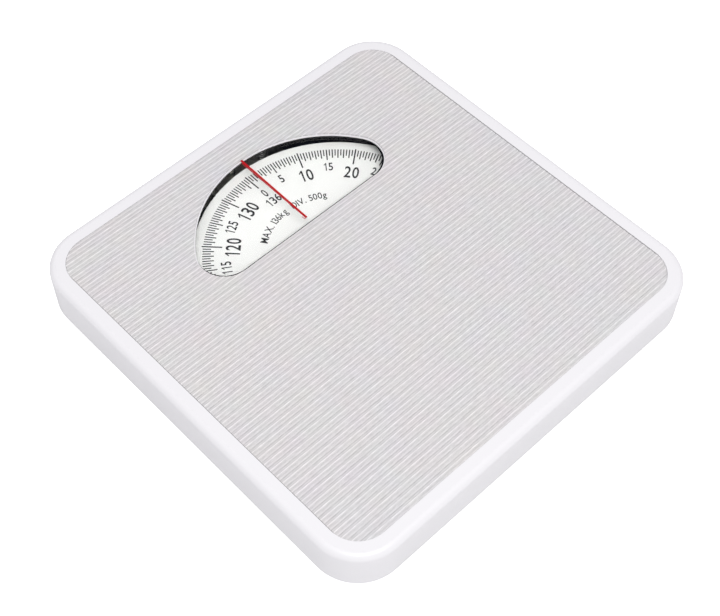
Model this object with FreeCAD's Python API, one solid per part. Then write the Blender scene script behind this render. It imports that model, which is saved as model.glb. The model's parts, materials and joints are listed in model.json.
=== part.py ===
import FreeCAD, Part
import math
import os

# Mechanical dial bathroom scale. Millimetres, +Z up, +Y away from the user,
# origin on the floor under the middle of the cover.

# ---- cover, mat and window ----
COVER_WIDTH = 270.0
COVER_DEPTH = 268.0
COVER_HEIGHT = 45.0
COVER_CORNER = 28.5
RIM_ROUND = 4.0
SKIRT_Z = 16.2
HEM_WIDTH = 2.6
HEM_THICK = 1.0
STEEL = 0.8
RECESS_HALF_X = 125.3
RECESS_HALF_Y = 124.35
RECESS_CORNER = 18.8
PAN_Z = 43.6
PAN_UNDER_Z = PAN_Z - STEEL
MAT_GAP = 0.12
MAT_TOP_Z = 44.8
RIB_PITCH = 4.742
RIB_PHASE = -0.896
GROOVE_WIDTH = 1.1
GROOVE_DEPTH = 0.4
WINDOW_Y = 30.0
WINDOW_R = 76.6
WINDOW_CHORD_Y = 45.0
WINDOW_FILLET = 16.8
MAT_SETBACK = 0.65
LENS_TOP_Z = 42.5
LENS_LOW_Z = 40.9
LENS_REACH = 4.5
SEAL_REACH = 4.0
SEAL_START = 0.2
SEAL_LIP = 1.2
POINTER_WIDTH = 1.2
POINTER_FRONT_Y = 49.7
POINTER_REAR_Y = 107.1
POINTER_STEP_Y = (105.9, 106.4)
POINTER_STEP_Z = PAN_Z + 0.1
POINTER_FRONT_RISE = 0.5
POINTER_REAR_RISE = 1.9
CUT_PAST = 1.0

# ---- base tray and feet ----
TRAY_HALF_X = 128.0
TRAY_HALF_Y = 127.0
TRAY_CORNER = 24.0
TRAY_Z = 5.0
TRAY_WALL_Z = 26.0
TRAY_ROUND = 2.0
FLOOR_Z = TRAY_Z + STEEL
BEAD_DEPTH = 1.1
BEAD_HALF = 5.0
CROSS_BEAD_REACH = 75.0
CROSS_BEADS_Y = (-96.0, -60.0, -24.0)
SIDE_BEAD_X = 95.0
SIDE_BEAD_REACH = 80.0
FOOT_TOP_R = 8.5
FOOT_LOW_R = 7.5
FOOT_DIMPLE_R = 4.5
FOOT_DIMPLE = 1.0

# ---- levers ----
FRONT_FULCRUM = (108.0, -110.0)
REAR_FULCRUM = (108.0, 104.0)
NOSE = (14.0, 115.0)
CROSSING = (59.8, 5.3)
LEVER_THICK = 2.0
LEVER_LOW_Z = 16.0
LEVER_HIGH_Z = 25.0
LEVER_TAIL = 8.0
PIN_Z = 20.5
PIN_R = 1.5
PIN_HALF = 5.0
LONG_LOAD_ARM = 24.4
SHORT_LOAD_ARM = 21.42
NOSE_LOW_Z = 22.65
NOSE_HIGH_Z = 27.0
NOSE_RUN = 19.0
NOSE_OVERHANG = 2.0
BODY_END_BACK = 15.1
TONGUE_LOW_Z = 18.5
TONGUE_HIGH_Z = 22.5
TONGUE_RUN = 9.0
TONGUE_PAST = 6.0
SLOT_HALF = 3.1
SLOT_LOW_Z = 18.35
SLOT_HIGH_Z = 23.1
CHEEK_IN = 2.2
CHEEK_OUT = 3.7
NOTCH_CLEAR = 0.05
BRACKET_PLATE_TOP_Z = 7.3
BRACKET_HALF_LONG = 8.0
BRACKET_HALF_WIDE = 14.4
BRACKET_CHEEK_HALF = 6.0
BRACKET_TOP_Z = 24.0
BRACKET_RIVET = 12.0
POST_LOW_Z = 16.8
POST_FLANGE_Z = 41.6
POST_FLANGE_LONG = 9.0
POST_FLANGE_WIDE = 7.0
RIVET_R = 1.5
RIVET_HEAD_R = 2.4
RIVET_HEAD = 0.8

# ---- weighing springs and zero adjustment ----
SCREW_Y = 119.0
FRAME_HALF_X = 34.0
FRAME_THICK = 1.5
FRAME_FRONT_Y = 113.0
FRAME_REAR_Y = 124.8
FRAME_TOP_Z = 39.5
FRAME_FOOT_X = 44.0
FRAME_SCREW_X = 39.5
ZERO_SCREW_R = 2.0
FRAME_HOLE_R = 2.3
PLATE_HOLE_R = 3.0
ZERO_SCREW_LOW_Z = 6.2
SCREW_HEAD_R = 4.0
SCREW_HEAD_Z = 41.5
BUSH_TOP_Z = 7.8
BUSH_R = 4.0
KNOB_R = 13.0
KNOB_LOW_Z = 8.5
KNOB_HIGH_Z = 13.5
KNOB_FLUTES = 36
FLUTE_R = 0.7
KNOB_SLOT_HALF = 12.5
KNOB_SLOT_LOW_Z = 7.3
KNOB_SLOT_HIGH_Z = 14.9
CARRIER_HALF_X = 29.0
CARRIER_HALF_Y = 4.5
CARRIER_LOW_Z = 33.0
CARRIER_HIGH_Z = 35.0
CARRIER_HUB_R = 5.0
CARRIER_HUB_REACH = 1.5
SPRING_X = 24.0
SPRING_R = 4.0
SPRING_BORE_R = 2.6
PLATE_HALF_X = 19.0
PLATE_THICK = 1.5
PLATE_FRONT_Y = 103.5
PLATE_REAR_Y = 123.0
PLATE_LOW_Z = 21.0
EAR_LOW_Z = 13.5
EAR_HALF_X = 29.5
EAR_FRONT_Y = 114.0
TONGUE_HALF_X = 2.0
TONGUE_FRONT_Y = 96.8
TONGUE_TOP_Z = 14.15
TONGUE_THICK = 1.0
RISER_THICK = 1.2

# ---- bell crank ----
CRANK_Y = 92.5
CRANK_Z = 12.4
CRANK_LONG = 16.0
CRANK_SHORT = 5.94
CRANK_REST_DEG = 36.09
CRANK_HALF = 0.9
CRANK_ARM_HALF = 1.5
CRANK_SHORT_HALF = 0.8
CRANK_EYE = 0.3
CRANK_TIP_R = 1.6
CRANK_HUB_R = 2.2
CRANK_HUB_HALF = 4.2
CRANK_PIN_R = 1.25
CRANK_BORE_R = 1.3
CRANK_PIN_HALF = 6.6
DRIVE_PIN_R = 0.9
DRIVE_PIN_LOW_X = -1.0
DRIVE_PIN_HIGH_X = 8.6
CRANK_CHEEK_IN = 4.4
CRANK_CHEEK_OUT = 5.6
CRANK_CHEEK_HALF_Y = 7.5
CRANK_CHEEK_TOP_Z = 15.2
CRANK_FOOT_X = 12.5
CRANK_FOOT_TOP_Z = 7.0
CRANK_RIVET_X = 9.2
CRANK_RIVET_Y = 4.5
RETURN_SPRING_X = (-4.0, -1.8)
RETURN_SPRING_R = 3.1
RETURN_SPRING_BORE = 2.3

# ---- rack, pinion and dial ----
DIAL_Y = 23.9
DIAL_R = 83.1
DIAL_LOW_Z = 33.2
DIAL_HIGH_Z = 34.2
GEAR_MODULE = 0.5
GEAR_ADDENDUM = 0.9 * GEAR_MODULE
GEAR_DEDENDUM = 1.25 * GEAR_MODULE
GEAR_PLAY = 0.03
TOOTH_SINK = 0.1
FLANK_STEPS = 4
RACK_RUNOUT = 4.0
PINION_TEETH = 12
PRESSURE_DEG = 20.0
PINION_LOW_Z = 26.6
PINION_HIGH_Z = 29.3
SHAFT_R = 1.2
SHAFT_LOW_Z = 19.8
SHAFT_HIGH_Z = 35.6
HUB_FLANGE_R = 5.5
HUB_FLANGE_Z = 32.0
HUB_BARREL_R = 2.5
HUB_BARREL_Z = 29.35
HUB_CAP_R = 4.5
HUB_CAP_Z = 35.2
DIAL_BUSH_R = 2.6
DIAL_BUSH_BORE = 1.23
DIAL_BUSH_LOW_Z = 21.0
DIAL_BUSH_HIGH_Z = 26.5
DIAL_BUSH_FLANGE_R = 4.0
DIAL_BUSH_FLANGE_Z = (23.5, 24.5)
CLIP_R = 2.6
CLIP_Z = (20.2, 20.8)
CLIP_GROOVE_R = 0.9
CLIP_GAP_HALF = 0.6
BRIDGE_HALF_X = 44.0
BRIDGE_FRONT_Y = 16.0
BRIDGE_REAR_Y = 32.0
BRIDGE_LOW_Z = 22.0
BRIDGE_HIGH_Z = 23.5
BRIDGE_FOOT_X = 54.0
BRIDGE_SCREW_X = 49.0
RACK_BACK_X = 9.0
RACK_LOW_Z = 27.2
RACK_HIGH_Z = 28.7
RACK_FRONT_Y = 2.0
RACK_REAR_Y = 81.0
FORK_X = (6.4, 7.9)
FORK_Z = (23.0, 29.6)
FORK_FRONT_Y = 79.6
FORK_REAR_Y = 86.6
FORK_SLOT_HALF = 1.27
FORK_SLOT_LOW_Z = 24.2
GUIDE_Y = (17.0, 31.0)
GUIDE_BACK_X = (9.15, 11.0)
GUIDE_SHELF_X = 4.6
GUIDE_LIP_X = 6.3
GUIDE_SHELF_Z = 27.1
GUIDE_LIP_Z = (28.8, 29.7)

# ---- screws and hold-down springs ----
SCREW_R = 1.5
PAN_HEAD_R = 3.0
PAN_HEAD = 1.7
PAN_SLOT = 0.7
SCREW_TIP_Z = 4.6
HOLD_X = 116.0
HOLD_Y = 50.0
HOLD_R = 3.0
HOLD_BORE_R = 2.2
LUG_HALF_X = 3.0
LUG_HALF_Y = 0.6
LUG_REACH = 7.5
LUG_HOLE_R = 1.3
LUG_HOLE_IN = 2.0

V = FreeCAD.Vector
UP = V(0, 0, 1)
ALONG_X = V(1, 0, 0)
ALONG_Y = V(0, 1, 0)
EPS = 1e-4
SIDES = (("left", -1), ("right", 1))


# ---------------------------------------------------------------- basic shapes
def block(x0, x1, y0, y1, z0, z1):
    """Box between two opposite corners."""
    low = V(min(x0, x1), min(y0, y1), z0)
    return Part.makeBox(abs(x1 - x0), abs(y1 - y0), z1 - z0, low)


def rod(x, y, z0, z1, radius):
    """Upright cylinder."""
    return Part.makeCylinder(radius, z1 - z0, V(x, y, z0), UP)


def cross_rod(x0, x1, y, z, radius):
    """Cylinder along X."""
    return Part.makeCylinder(radius, x1 - x0, V(x0, y, z), ALONG_X)


def upright_rods(places, z0, z1, radius):
    """Several upright cylinders as one cutting tool."""
    return Part.makeCompound([rod(x, y, z0, z1, radius) for x, y in places])


def edges_at(shape, z):
    """Edges that lie flat at height z."""
    return [e for e in shape.Edges if abs(e.BoundBox.ZMin - z) < EPS and abs(e.BoundBox.ZMax - z) < EPS]


def rounded_box(half_x, half_y, corner, z0, z1):
    """Upright box with round vertical corners, centred on the Z axis."""
    shape = block(-half_x, half_x, -half_y, half_y, z0, z1)
    upright = [e for e in shape.Edges if e.BoundBox.ZLength > z1 - z0 - EPS]
    return shape.makeFillet(corner, upright)


def stadium(x0, x1, y0, y1, half, z0, z1):
    """Bead outline: a straight run along X or Y with round ends."""
    wide = half if x0 == x1 else 0
    deep = half if y0 == y1 else 0
    run = block(x0 - wide, x1 + wide, y0 - deep, y1 + deep, z0, z1)
    return run.fuse([rod(x0, y0, z0, z1, half), rod(x1, y1, z0, z1, half)])


def window_prism(grow, z0, z1, lip=0):
    """Upright solid with the window's D outline, offset outward by grow, its chord moved in by lip."""
    radius = WINDOW_R + grow
    chord = WINDOW_CHORD_Y - grow + lip
    fillet = WINDOW_FILLET + grow
    rise = chord + fillet - WINDOW_Y
    across = math.sqrt((radius - fillet) ** 2 - rise ** 2)
    turn = math.atan2(rise, across)
    halfway = (turn - math.pi / 2) / 2

    def corner(side):
        centre = V(side * across, chord + fillet, z0)
        low = centre + V(0, -fillet, 0)
        middle = centre + V(side * math.cos(halfway), math.sin(halfway), 0) * fillet
        high = centre + V(side * math.cos(turn), math.sin(turn), 0) * fillet
        return low, middle, high

    right, left = corner(1), corner(-1)
    top = V(0, WINDOW_Y + radius, z0)
    edges = [
        Part.makeLine(left[0], right[0]),
        Part.Arc(right[0], right[1], right[2]).toShape(),
        Part.Arc(right[2], top, left[2]).toShape(),
        Part.Arc(left[2], left[1], left[0]).toShape(),
    ]
    return Part.Face(Part.Wire(edges)).extrude(V(0, 0, z1 - z0))


def tube(x, y, z0, z1, radius, bore):
    """Upright round tube."""
    return rod(x, y, z0, z1, radius).cut(rod(x, y, z0, z1, bore))


def place(shape, x, y, angle):
    """Turn a shape about Z by an angle in radians and move it to x, y."""
    shape.rotate(V(0, 0, 0), UP, math.degrees(angle))
    shape.translate(V(x, y, 0))
    return shape


def rivet(x, y, z0, z1):
    """Rivet that joins the sheets between z0 and z1."""
    shank = rod(x, y, z0, z1, RIVET_R)
    low = Part.makeCone(RIVET_HEAD_R - RIVET_HEAD, RIVET_HEAD_R, RIVET_HEAD, V(x, y, z0 - RIVET_HEAD), UP)
    high = Part.makeCone(RIVET_HEAD_R, RIVET_HEAD_R - RIVET_HEAD, RIVET_HEAD, V(x, y, z1), UP)
    return shank.fuse([low, high])


def pan_screw(x, y, seat_z):
    """Slotted pan-head screw through the tray floor."""
    shank = rod(x, y, SCREW_TIP_Z, seat_z, SCREW_R)
    head = rod(x, y, seat_z, seat_z + PAN_HEAD, PAN_HEAD_R)
    head = head.makeFillet(PAN_SLOT, edges_at(head, seat_z + PAN_HEAD))
    slot_z = seat_z + PAN_HEAD - PAN_SLOT
    slot_half = PAN_SLOT / 2
    slot = block(x - PAN_HEAD_R, x + PAN_HEAD_R, y - slot_half, y + slot_half, slot_z, seat_z + PAN_HEAD)
    return shank.fuse(head).cut(slot)


def save(name, shape):
    """Write one node, as a single solid or a group of separate solids."""
    solids = shape.Solids
    whole = solids[0] if len(solids) == 1 else Part.makeCompound(solids)
    whole.exportStep("parts/" + name + ".step")


# ---------------------------------------------------------------- lever places
def long_lever_place(side):
    """Fulcrum, heading and length of the long lever on one side."""
    x0, y0 = side * FRONT_FULCRUM[0], FRONT_FULCRUM[1]
    x1, y1 = side * NOSE[0], NOSE[1]
    return x0, y0, math.atan2(y1 - y0, x1 - x0), math.hypot(x1 - x0, y1 - y0)


def short_lever_place(side):
    """Fulcrum, heading and length of the short lever on one side."""
    x0, y0 = side * REAR_FULCRUM[0], REAR_FULCRUM[1]
    x1, y1 = side * CROSSING[0], CROSSING[1]
    return x0, y0, math.atan2(y1 - y0, x1 - x0), math.hypot(x1 - x0, y1 - y0)


def across(start, heading, distance):
    """Point beside a lever, at a distance across it."""
    return start[0] - math.sin(heading) * distance, start[1] + math.cos(heading) * distance


def bracket_rivet_places():
    """Rivet centres of the four fulcrum brackets."""
    places = []
    for _, side in SIDES:
        for x, y, heading, _ in (long_lever_place(side), short_lever_place(side)):
            places += [across((x, y), heading, s * BRACKET_RIVET) for s in (-1, 1)]
    return places


def crank_rivet_places():
    """Rivet centres of the crank bracket."""
    return [(sx * CRANK_RIVET_X, CRANK_Y + sy * CRANK_RIVET_Y) for sx in (-1, 1) for sy in (-1, 1)]


def frame_screw_places():
    """Screw centres of the spring frame."""
    return [(s * FRAME_SCREW_X, SCREW_Y) for s in (-1, 1)]


def bridge_screw_places():
    """Screw centres of the dial bridge."""
    return [(s * BRIDGE_SCREW_X, DIAL_Y) for s in (-1, 1)]


def foot_places():
    """Names and centres of the four feet, under the lever fulcrums."""
    names = []
    for label, side in SIDES:
        names.append(("foot_front_" + label, side * FRONT_FULCRUM[0], FRONT_FULCRUM[1]))
        names.append(("foot_rear_" + label, side * REAR_FULCRUM[0], REAR_FULCRUM[1]))
    return names


def hold_places():
    """Centres of the hold-down springs."""
    return [(sx * HOLD_X, sy * HOLD_Y) for sx in (-1, 1) for sy in (-1, 1)]


def crank_long_tip():
    """Rest place (y, z) of the drive pin."""
    lean = math.radians(CRANK_REST_DEG)
    return CRANK_Y - CRANK_LONG * math.sin(lean), CRANK_Z + CRANK_LONG * math.cos(lean)


def crank_short_tip():
    """Rest place (y, z) of the follower tip."""
    lean = math.radians(CRANK_REST_DEG)
    return CRANK_Y + CRANK_SHORT * math.cos(lean), CRANK_Z + CRANK_SHORT * math.sin(lean)


# ---------------------------------------------------------------- platform
def hold_lug(x, y, z0, z1, hole_z):
    """Small upright tab with a hole for a spring hook."""
    tab = block(x - LUG_HALF_X, x + LUG_HALF_X, y - LUG_HALF_Y, y + LUG_HALF_Y, z0, z1)
    hole = Part.makeCylinder(LUG_HOLE_R, 4 * LUG_HALF_Y, V(x, y - 2 * LUG_HALF_Y, hole_z), ALONG_Y)
    return tab.cut(hole)


def platform_cover():
    """Pressed cover: rim, skirt with hem, sunk pan and the window's turned-down wall."""
    half_x, half_y = COVER_WIDTH / 2, COVER_DEPTH / 2
    cover = rounded_box(half_x, half_y, COVER_CORNER, SKIRT_Z, COVER_HEIGHT)
    cover = cover.makeFillet(RIM_ROUND, edges_at(cover, COVER_HEIGHT))
    hem_top = SKIRT_Z + HEM_THICK
    under = COVER_HEIGHT - STEEL
    hollow = rounded_box(half_x - STEEL, half_y - STEEL, COVER_CORNER - STEEL, hem_top, under)
    hollow = hollow.makeFillet(RIM_ROUND - STEEL, edges_at(hollow, under))
    pan_x, pan_y = RECESS_HALF_X + STEEL, RECESS_HALF_Y + STEEL
    pan = rounded_box(pan_x, pan_y, RECESS_CORNER + STEEL, PAN_UNDER_Z, COVER_HEIGHT)
    mouth_x, mouth_y = half_x - HEM_WIDTH, half_y - HEM_WIDTH
    mouth_low, mouth_high = SKIRT_Z - CUT_PAST, hem_top + CUT_PAST
    mouth = rounded_box(mouth_x, mouth_y, COVER_CORNER - HEM_WIDTH, mouth_low, mouth_high)
    recess = rounded_box(RECESS_HALF_X, RECESS_HALF_Y, RECESS_CORNER, PAN_Z, COVER_HEIGHT + CUT_PAST)
    cover = cover.cut(recess)
    cover = cover.cut(hollow.cut(pan))
    cover = cover.cut(mouth)
    cover = cover.cut(window_prism(0, PAN_UNDER_Z - CUT_PAST, PAN_Z + CUT_PAST))
    lug_z = PAN_UNDER_Z - LUG_REACH
    lugs = [hold_lug(x, y, lug_z, PAN_UNDER_Z, lug_z + LUG_HOLE_IN) for x, y in hold_places()]
    return cover.fuse(lugs)


def platform_mat():
    """Mat with fine grooves across it and the window cut out."""
    half_x, half_y = RECESS_HALF_X - MAT_GAP, RECESS_HALF_Y - MAT_GAP
    mat = rounded_box(half_x, half_y, RECESS_CORNER - MAT_GAP, PAN_Z, MAT_TOP_Z)
    wide, half = half_x + CUT_PAST, GROOVE_WIDTH / 2
    low, high = MAT_TOP_Z - GROOVE_DEPTH, MAT_TOP_Z + CUT_PAST
    first = math.ceil((GROOVE_WIDTH - half_y - RIB_PHASE) / RIB_PITCH)
    last = math.floor((half_y - GROOVE_WIDTH - RIB_PHASE) / RIB_PITCH)
    middles = [RIB_PHASE + i * RIB_PITCH for i in range(first, last + 1)]
    grooves = [block(-wide, wide, y - half, y + half, low, high) for y in middles]
    mat = mat.cut(Part.makeCompound(grooves))
    return mat.cut(window_prism(MAT_SETBACK, PAN_Z - CUT_PAST, high))


def window_lens():
    """Clear flat plate bonded under the cover's window opening."""
    return window_prism(LENS_REACH, LENS_LOW_Z, LENS_TOP_Z)


def lens_seal():
    """Black foam tape between the lens and the cover, with a lip showing along the chord."""
    ring = window_prism(SEAL_REACH, LENS_TOP_Z, PAN_UNDER_Z)
    return ring.cut(window_prism(SEAL_START, LENS_TOP_Z - CUT_PAST, PAN_UNDER_Z + CUT_PAST, SEAL_LIP))


def pointer():
    """Tapered strip bonded on the lens that marks the reading; its rear end steps over the cover's edge."""
    half = POINTER_WIDTH / 2
    side = Part.makePolygon([
        V(-half, POINTER_FRONT_Y, LENS_TOP_Z),
        V(-half, POINTER_STEP_Y[0], LENS_TOP_Z),
        V(-half, POINTER_STEP_Y[1], POINTER_STEP_Z),
        V(-half, POINTER_REAR_Y, POINTER_STEP_Z),
        V(-half, POINTER_REAR_Y, LENS_TOP_Z + POINTER_REAR_RISE),
        V(-half, POINTER_FRONT_Y, LENS_TOP_Z + POINTER_FRONT_RISE),
        V(-half, POINTER_FRONT_Y, LENS_TOP_Z),
    ])
    return Part.Face(side).extrude(V(POINTER_WIDTH, 0, 0))


def load_post(start, heading, arm):
    """Channel under the cover that stands on a lever's load pin."""
    long, wide = POST_FLANGE_LONG, POST_FLANGE_WIDE
    flange = block(-long, long, -wide, wide, POST_FLANGE_Z, PAN_UNDER_Z)
    half = BRACKET_CHEEK_HALF
    cheeks = [block(-half, half, s * CHEEK_IN, s * CHEEK_OUT, POST_LOW_Z, POST_FLANGE_Z) for s in (-1, 1)]
    post = flange.fuse(cheeks)
    grip = PIN_R + NOTCH_CLEAR
    notch = block(-grip, grip, -PIN_HALF, PIN_HALF, POST_LOW_Z - CUT_PAST, PIN_Z)
    seat = Part.makeCylinder(grip, 2 * PIN_HALF, V(0, -PIN_HALF, PIN_Z), ALONG_Y)
    post = post.cut(notch.fuse(seat))
    post.translate(V(arm, 0, 0))
    return place(post, start[0], start[1], heading)


# ---------------------------------------------------------------- base
def tray_holes():
    """Cutting tool for every hole in the tray floor."""
    low, high = TRAY_Z - CUT_PAST, FLOOR_Z + CUT_PAST
    rivets = upright_rods(bracket_rivet_places() + crank_rivet_places(), low, high, RIVET_R)
    screws = upright_rods(frame_screw_places() + bridge_screw_places(), low, high, SCREW_R)
    return Part.makeCompound([rivets, screws])


def base_tray():
    """Pressed tray with stiffening beads, the knob's slot and spring lugs."""
    tray = rounded_box(TRAY_HALF_X, TRAY_HALF_Y, TRAY_CORNER, TRAY_Z, TRAY_WALL_Z)
    tray = tray.makeFillet(TRAY_ROUND, edges_at(tray, TRAY_Z))
    runs = [(-CROSS_BEAD_REACH, CROSS_BEAD_REACH, y, y) for y in CROSS_BEADS_Y]
    runs += [(s * SIDE_BEAD_X, s * SIDE_BEAD_X, -SIDE_BEAD_REACH, SIDE_BEAD_REACH) for s in (-1, 1)]
    for x0, x1, y0, y1 in runs:
        tray = tray.fuse(stadium(x0, x1, y0, y1, BEAD_HALF, TRAY_Z - BEAD_DEPTH, FLOOR_Z))
    in_x, in_y = TRAY_HALF_X - STEEL, TRAY_HALF_Y - STEEL
    inside = rounded_box(in_x, in_y, TRAY_CORNER - STEEL, FLOOR_Z, TRAY_WALL_Z + CUT_PAST)
    inside = inside.makeFillet(TRAY_ROUND - STEEL, edges_at(inside, FLOOR_Z))
    tray = tray.cut(inside)
    for x0, x1, y0, y1 in runs:
        groove = stadium(x0, x1, y0, y1, BEAD_HALF - STEEL, FLOOR_Z - BEAD_DEPTH, FLOOR_Z + CUT_PAST)
        tray = tray.cut(groove)
    half, slot_y = KNOB_SLOT_HALF, TRAY_HALF_Y - 2 * STEEL
    slot = block(-half, half, slot_y, TRAY_HALF_Y + CUT_PAST, KNOB_SLOT_LOW_Z, KNOB_SLOT_HIGH_Z)
    tray = tray.cut(slot)
    tray = tray.cut(tray_holes())
    lug_top = FLOOR_Z + LUG_REACH
    lugs = [hold_lug(x, y, FLOOR_Z, lug_top, lug_top - LUG_HOLE_IN) for x, y in hold_places()]
    return tray.fuse(lugs)


def foot(x, y):
    """Rubber foot with a shallow dimple underneath."""
    pad = Part.makeCone(FOOT_LOW_R, FOOT_TOP_R, TRAY_Z, V(x, y, 0), UP)
    pad = pad.makeFillet(FOOT_DIMPLE, edges_at(pad, 0))
    return pad.cut(rod(x, y, -CUT_PAST, FOOT_DIMPLE, FOOT_DIMPLE_R))


def fulcrum_bracket(start, heading):
    """Channel with upward notches that carries a lever's pivot pin."""
    long, wide, half = BRACKET_HALF_LONG, BRACKET_HALF_WIDE, BRACKET_CHEEK_HALF
    plate = block(-long, long, -wide, wide, FLOOR_Z, BRACKET_PLATE_TOP_Z)
    cheeks = [block(-half, half, s * CHEEK_IN, s * CHEEK_OUT, FLOOR_Z, BRACKET_TOP_Z) for s in (-1, 1)]
    bracket = plate.fuse(cheeks)
    grip = PIN_R + NOTCH_CLEAR
    notch = block(-grip, grip, -PIN_HALF, PIN_HALF, PIN_Z, BRACKET_TOP_Z + CUT_PAST)
    seat = Part.makeCylinder(grip, 2 * PIN_HALF, V(0, -PIN_HALF, PIN_Z), ALONG_Y)
    bracket = bracket.cut(notch.fuse(seat))
    places = [(0, -BRACKET_RIVET), (0, BRACKET_RIVET)]
    rivets = upright_rods(places, FLOOR_Z - CUT_PAST, BRACKET_PLATE_TOP_Z + CUT_PAST, RIVET_R)
    return place(bracket.cut(rivets), start[0], start[1], heading)


def bracket_rivets():
    """Rivets of the fulcrum brackets."""
    return Part.makeCompound([rivet(x, y, TRAY_Z, BRACKET_PLATE_TOP_Z) for x, y in bracket_rivet_places()])


def hold_down_springs():
    """Springs that keep the cover on the tray."""
    low, high = FLOOR_Z + LUG_REACH, PAN_UNDER_Z - LUG_REACH
    return Part.makeCompound([tube(x, y, low, high, HOLD_R, HOLD_BORE_R) for x, y in hold_places()])


def spring_frame():
    """Inverted U over the lever noses, with a foot each side."""
    y0, y1 = FRAME_FRONT_Y, FRAME_REAR_Y
    under = FRAME_TOP_Z - FRAME_THICK
    frame = block(-FRAME_HALF_X, FRAME_HALF_X, y0, y1, under, FRAME_TOP_Z)
    inner = FRAME_HALF_X - FRAME_THICK
    for _, side in SIDES:
        leg = block(side * inner, side * FRAME_HALF_X, y0, y1, FLOOR_Z, FRAME_TOP_Z)
        ankle = block(side * inner, side * FRAME_FOOT_X, y0, y1, FLOOR_Z, BRACKET_PLATE_TOP_Z)
        frame = frame.fuse([leg, ankle])
    frame = frame.cut(rod(0, SCREW_Y, under - CUT_PAST, FRAME_TOP_Z + CUT_PAST, FRAME_HOLE_R))
    low, high = FLOOR_Z - CUT_PAST, BRACKET_PLATE_TOP_Z + CUT_PAST
    return frame.cut(upright_rods(frame_screw_places(), low, high, SCREW_R))


def screws_at(places):
    """Pan-head screws on the feet of a bent plate."""
    return Part.makeCompound([pan_screw(x, y, BRACKET_PLATE_TOP_Z) for x, y in places])


def screw_bush():
    """Bush on the tray that steadies the zero screw."""
    return tube(0, SCREW_Y, FLOOR_Z, BUSH_TOP_Z, BUSH_R, ZERO_SCREW_R + NOTCH_CLEAR)


def crank_bracket():
    """Two cheeks with feet that carry the bell crank's pivot."""
    y0, y1 = CRANK_Y - CRANK_CHEEK_HALF_Y, CRANK_Y + CRANK_CHEEK_HALF_Y
    sides = []
    for _, side in SIDES:
        cheek = block(side * CRANK_CHEEK_IN, side * CRANK_CHEEK_OUT, y0, y1, FLOOR_Z, CRANK_CHEEK_TOP_Z)
        ankle = block(side * CRANK_CHEEK_IN, side * CRANK_FOOT_X, y0, y1, FLOOR_Z, CRANK_FOOT_TOP_Z)
        sides.append(cheek.fuse(ankle))
    web_y = y0 + CRANK_CHEEK_OUT - CRANK_CHEEK_IN
    web = block(-CRANK_CHEEK_IN, CRANK_CHEEK_IN, y0, web_y, FLOOR_Z, CRANK_FOOT_TOP_Z)
    bracket = web.fuse(sides)
    bracket = bracket.cut(cross_rod(-CRANK_FOOT_X, CRANK_FOOT_X, CRANK_Y, CRANK_Z, CRANK_PIN_R))
    low, high = FLOOR_Z - CUT_PAST, CRANK_FOOT_TOP_Z + CUT_PAST
    return bracket.cut(upright_rods(crank_rivet_places(), low, high, RIVET_R))


def crank_bracket_rivets():
    """Rivets of the crank bracket."""
    return Part.makeCompound([rivet(x, y, TRAY_Z, CRANK_FOOT_TOP_Z) for x, y in crank_rivet_places()])


def crank_pivot_pin():
    """Pin across the crank bracket."""
    return cross_rod(-CRANK_PIN_HALF, CRANK_PIN_HALF, CRANK_Y, CRANK_Z, CRANK_PIN_R)


def crank_return_spring():
    """Coil beside the bell crank's hub."""
    x0, x1 = RETURN_SPRING_X
    coil = cross_rod(x0, x1, CRANK_Y, CRANK_Z, RETURN_SPRING_R)
    return coil.cut(cross_rod(x0, x1, CRANK_Y, CRANK_Z, RETURN_SPRING_BORE))


def dial_bridge():
    """Raised plate across the middle that carries the dial's bush."""
    y0, y1 = BRIDGE_FRONT_Y, BRIDGE_REAR_Y
    bridge = block(-BRIDGE_HALF_X, BRIDGE_HALF_X, y0, y1, BRIDGE_LOW_Z, BRIDGE_HIGH_Z)
    inner = BRIDGE_HALF_X - FRAME_THICK
    for _, side in SIDES:
        leg = block(side * inner, side * BRIDGE_HALF_X, y0, y1, FLOOR_Z, BRIDGE_HIGH_Z)
        ankle = block(side * inner, side * BRIDGE_FOOT_X, y0, y1, FLOOR_Z, BRACKET_PLATE_TOP_Z)
        bridge = bridge.fuse([leg, ankle])
    bridge = bridge.cut(rod(0, DIAL_Y, BRIDGE_LOW_Z - CUT_PAST, BRIDGE_HIGH_Z + CUT_PAST, DIAL_BUSH_R))
    low, high = FLOOR_Z - CUT_PAST, BRACKET_PLATE_TOP_Z + CUT_PAST
    return bridge.cut(upright_rods(bridge_screw_places(), low, high, SCREW_R))


def dial_bush():
    """Flanged bush on the bridge that carries the dial shaft."""
    low, high = DIAL_BUSH_FLANGE_Z
    body = rod(0, DIAL_Y, DIAL_BUSH_LOW_Z, DIAL_BUSH_HIGH_Z, DIAL_BUSH_R)
    flange = rod(0, DIAL_Y, low, high, DIAL_BUSH_FLANGE_R)
    bore = rod(0, DIAL_Y, DIAL_BUSH_LOW_Z, DIAL_BUSH_HIGH_Z, DIAL_BUSH_BORE)
    return body.fuse(flange).cut(bore)


def rack_guide():
    """Moulded channel on the bridge that keeps the rack on the pinion."""
    y0, y1 = GUIDE_Y
    back = block(GUIDE_BACK_X[0], GUIDE_BACK_X[1], y0, y1, BRIDGE_HIGH_Z, GUIDE_LIP_Z[1])
    shelf = block(GUIDE_SHELF_X, GUIDE_BACK_X[1], y0, y1, BRIDGE_HIGH_Z, GUIDE_SHELF_Z)
    lip = block(GUIDE_LIP_X, GUIDE_BACK_X[1], y0, y1, GUIDE_LIP_Z[0], GUIDE_LIP_Z[1])
    return back.fuse([shelf, lip])


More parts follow.
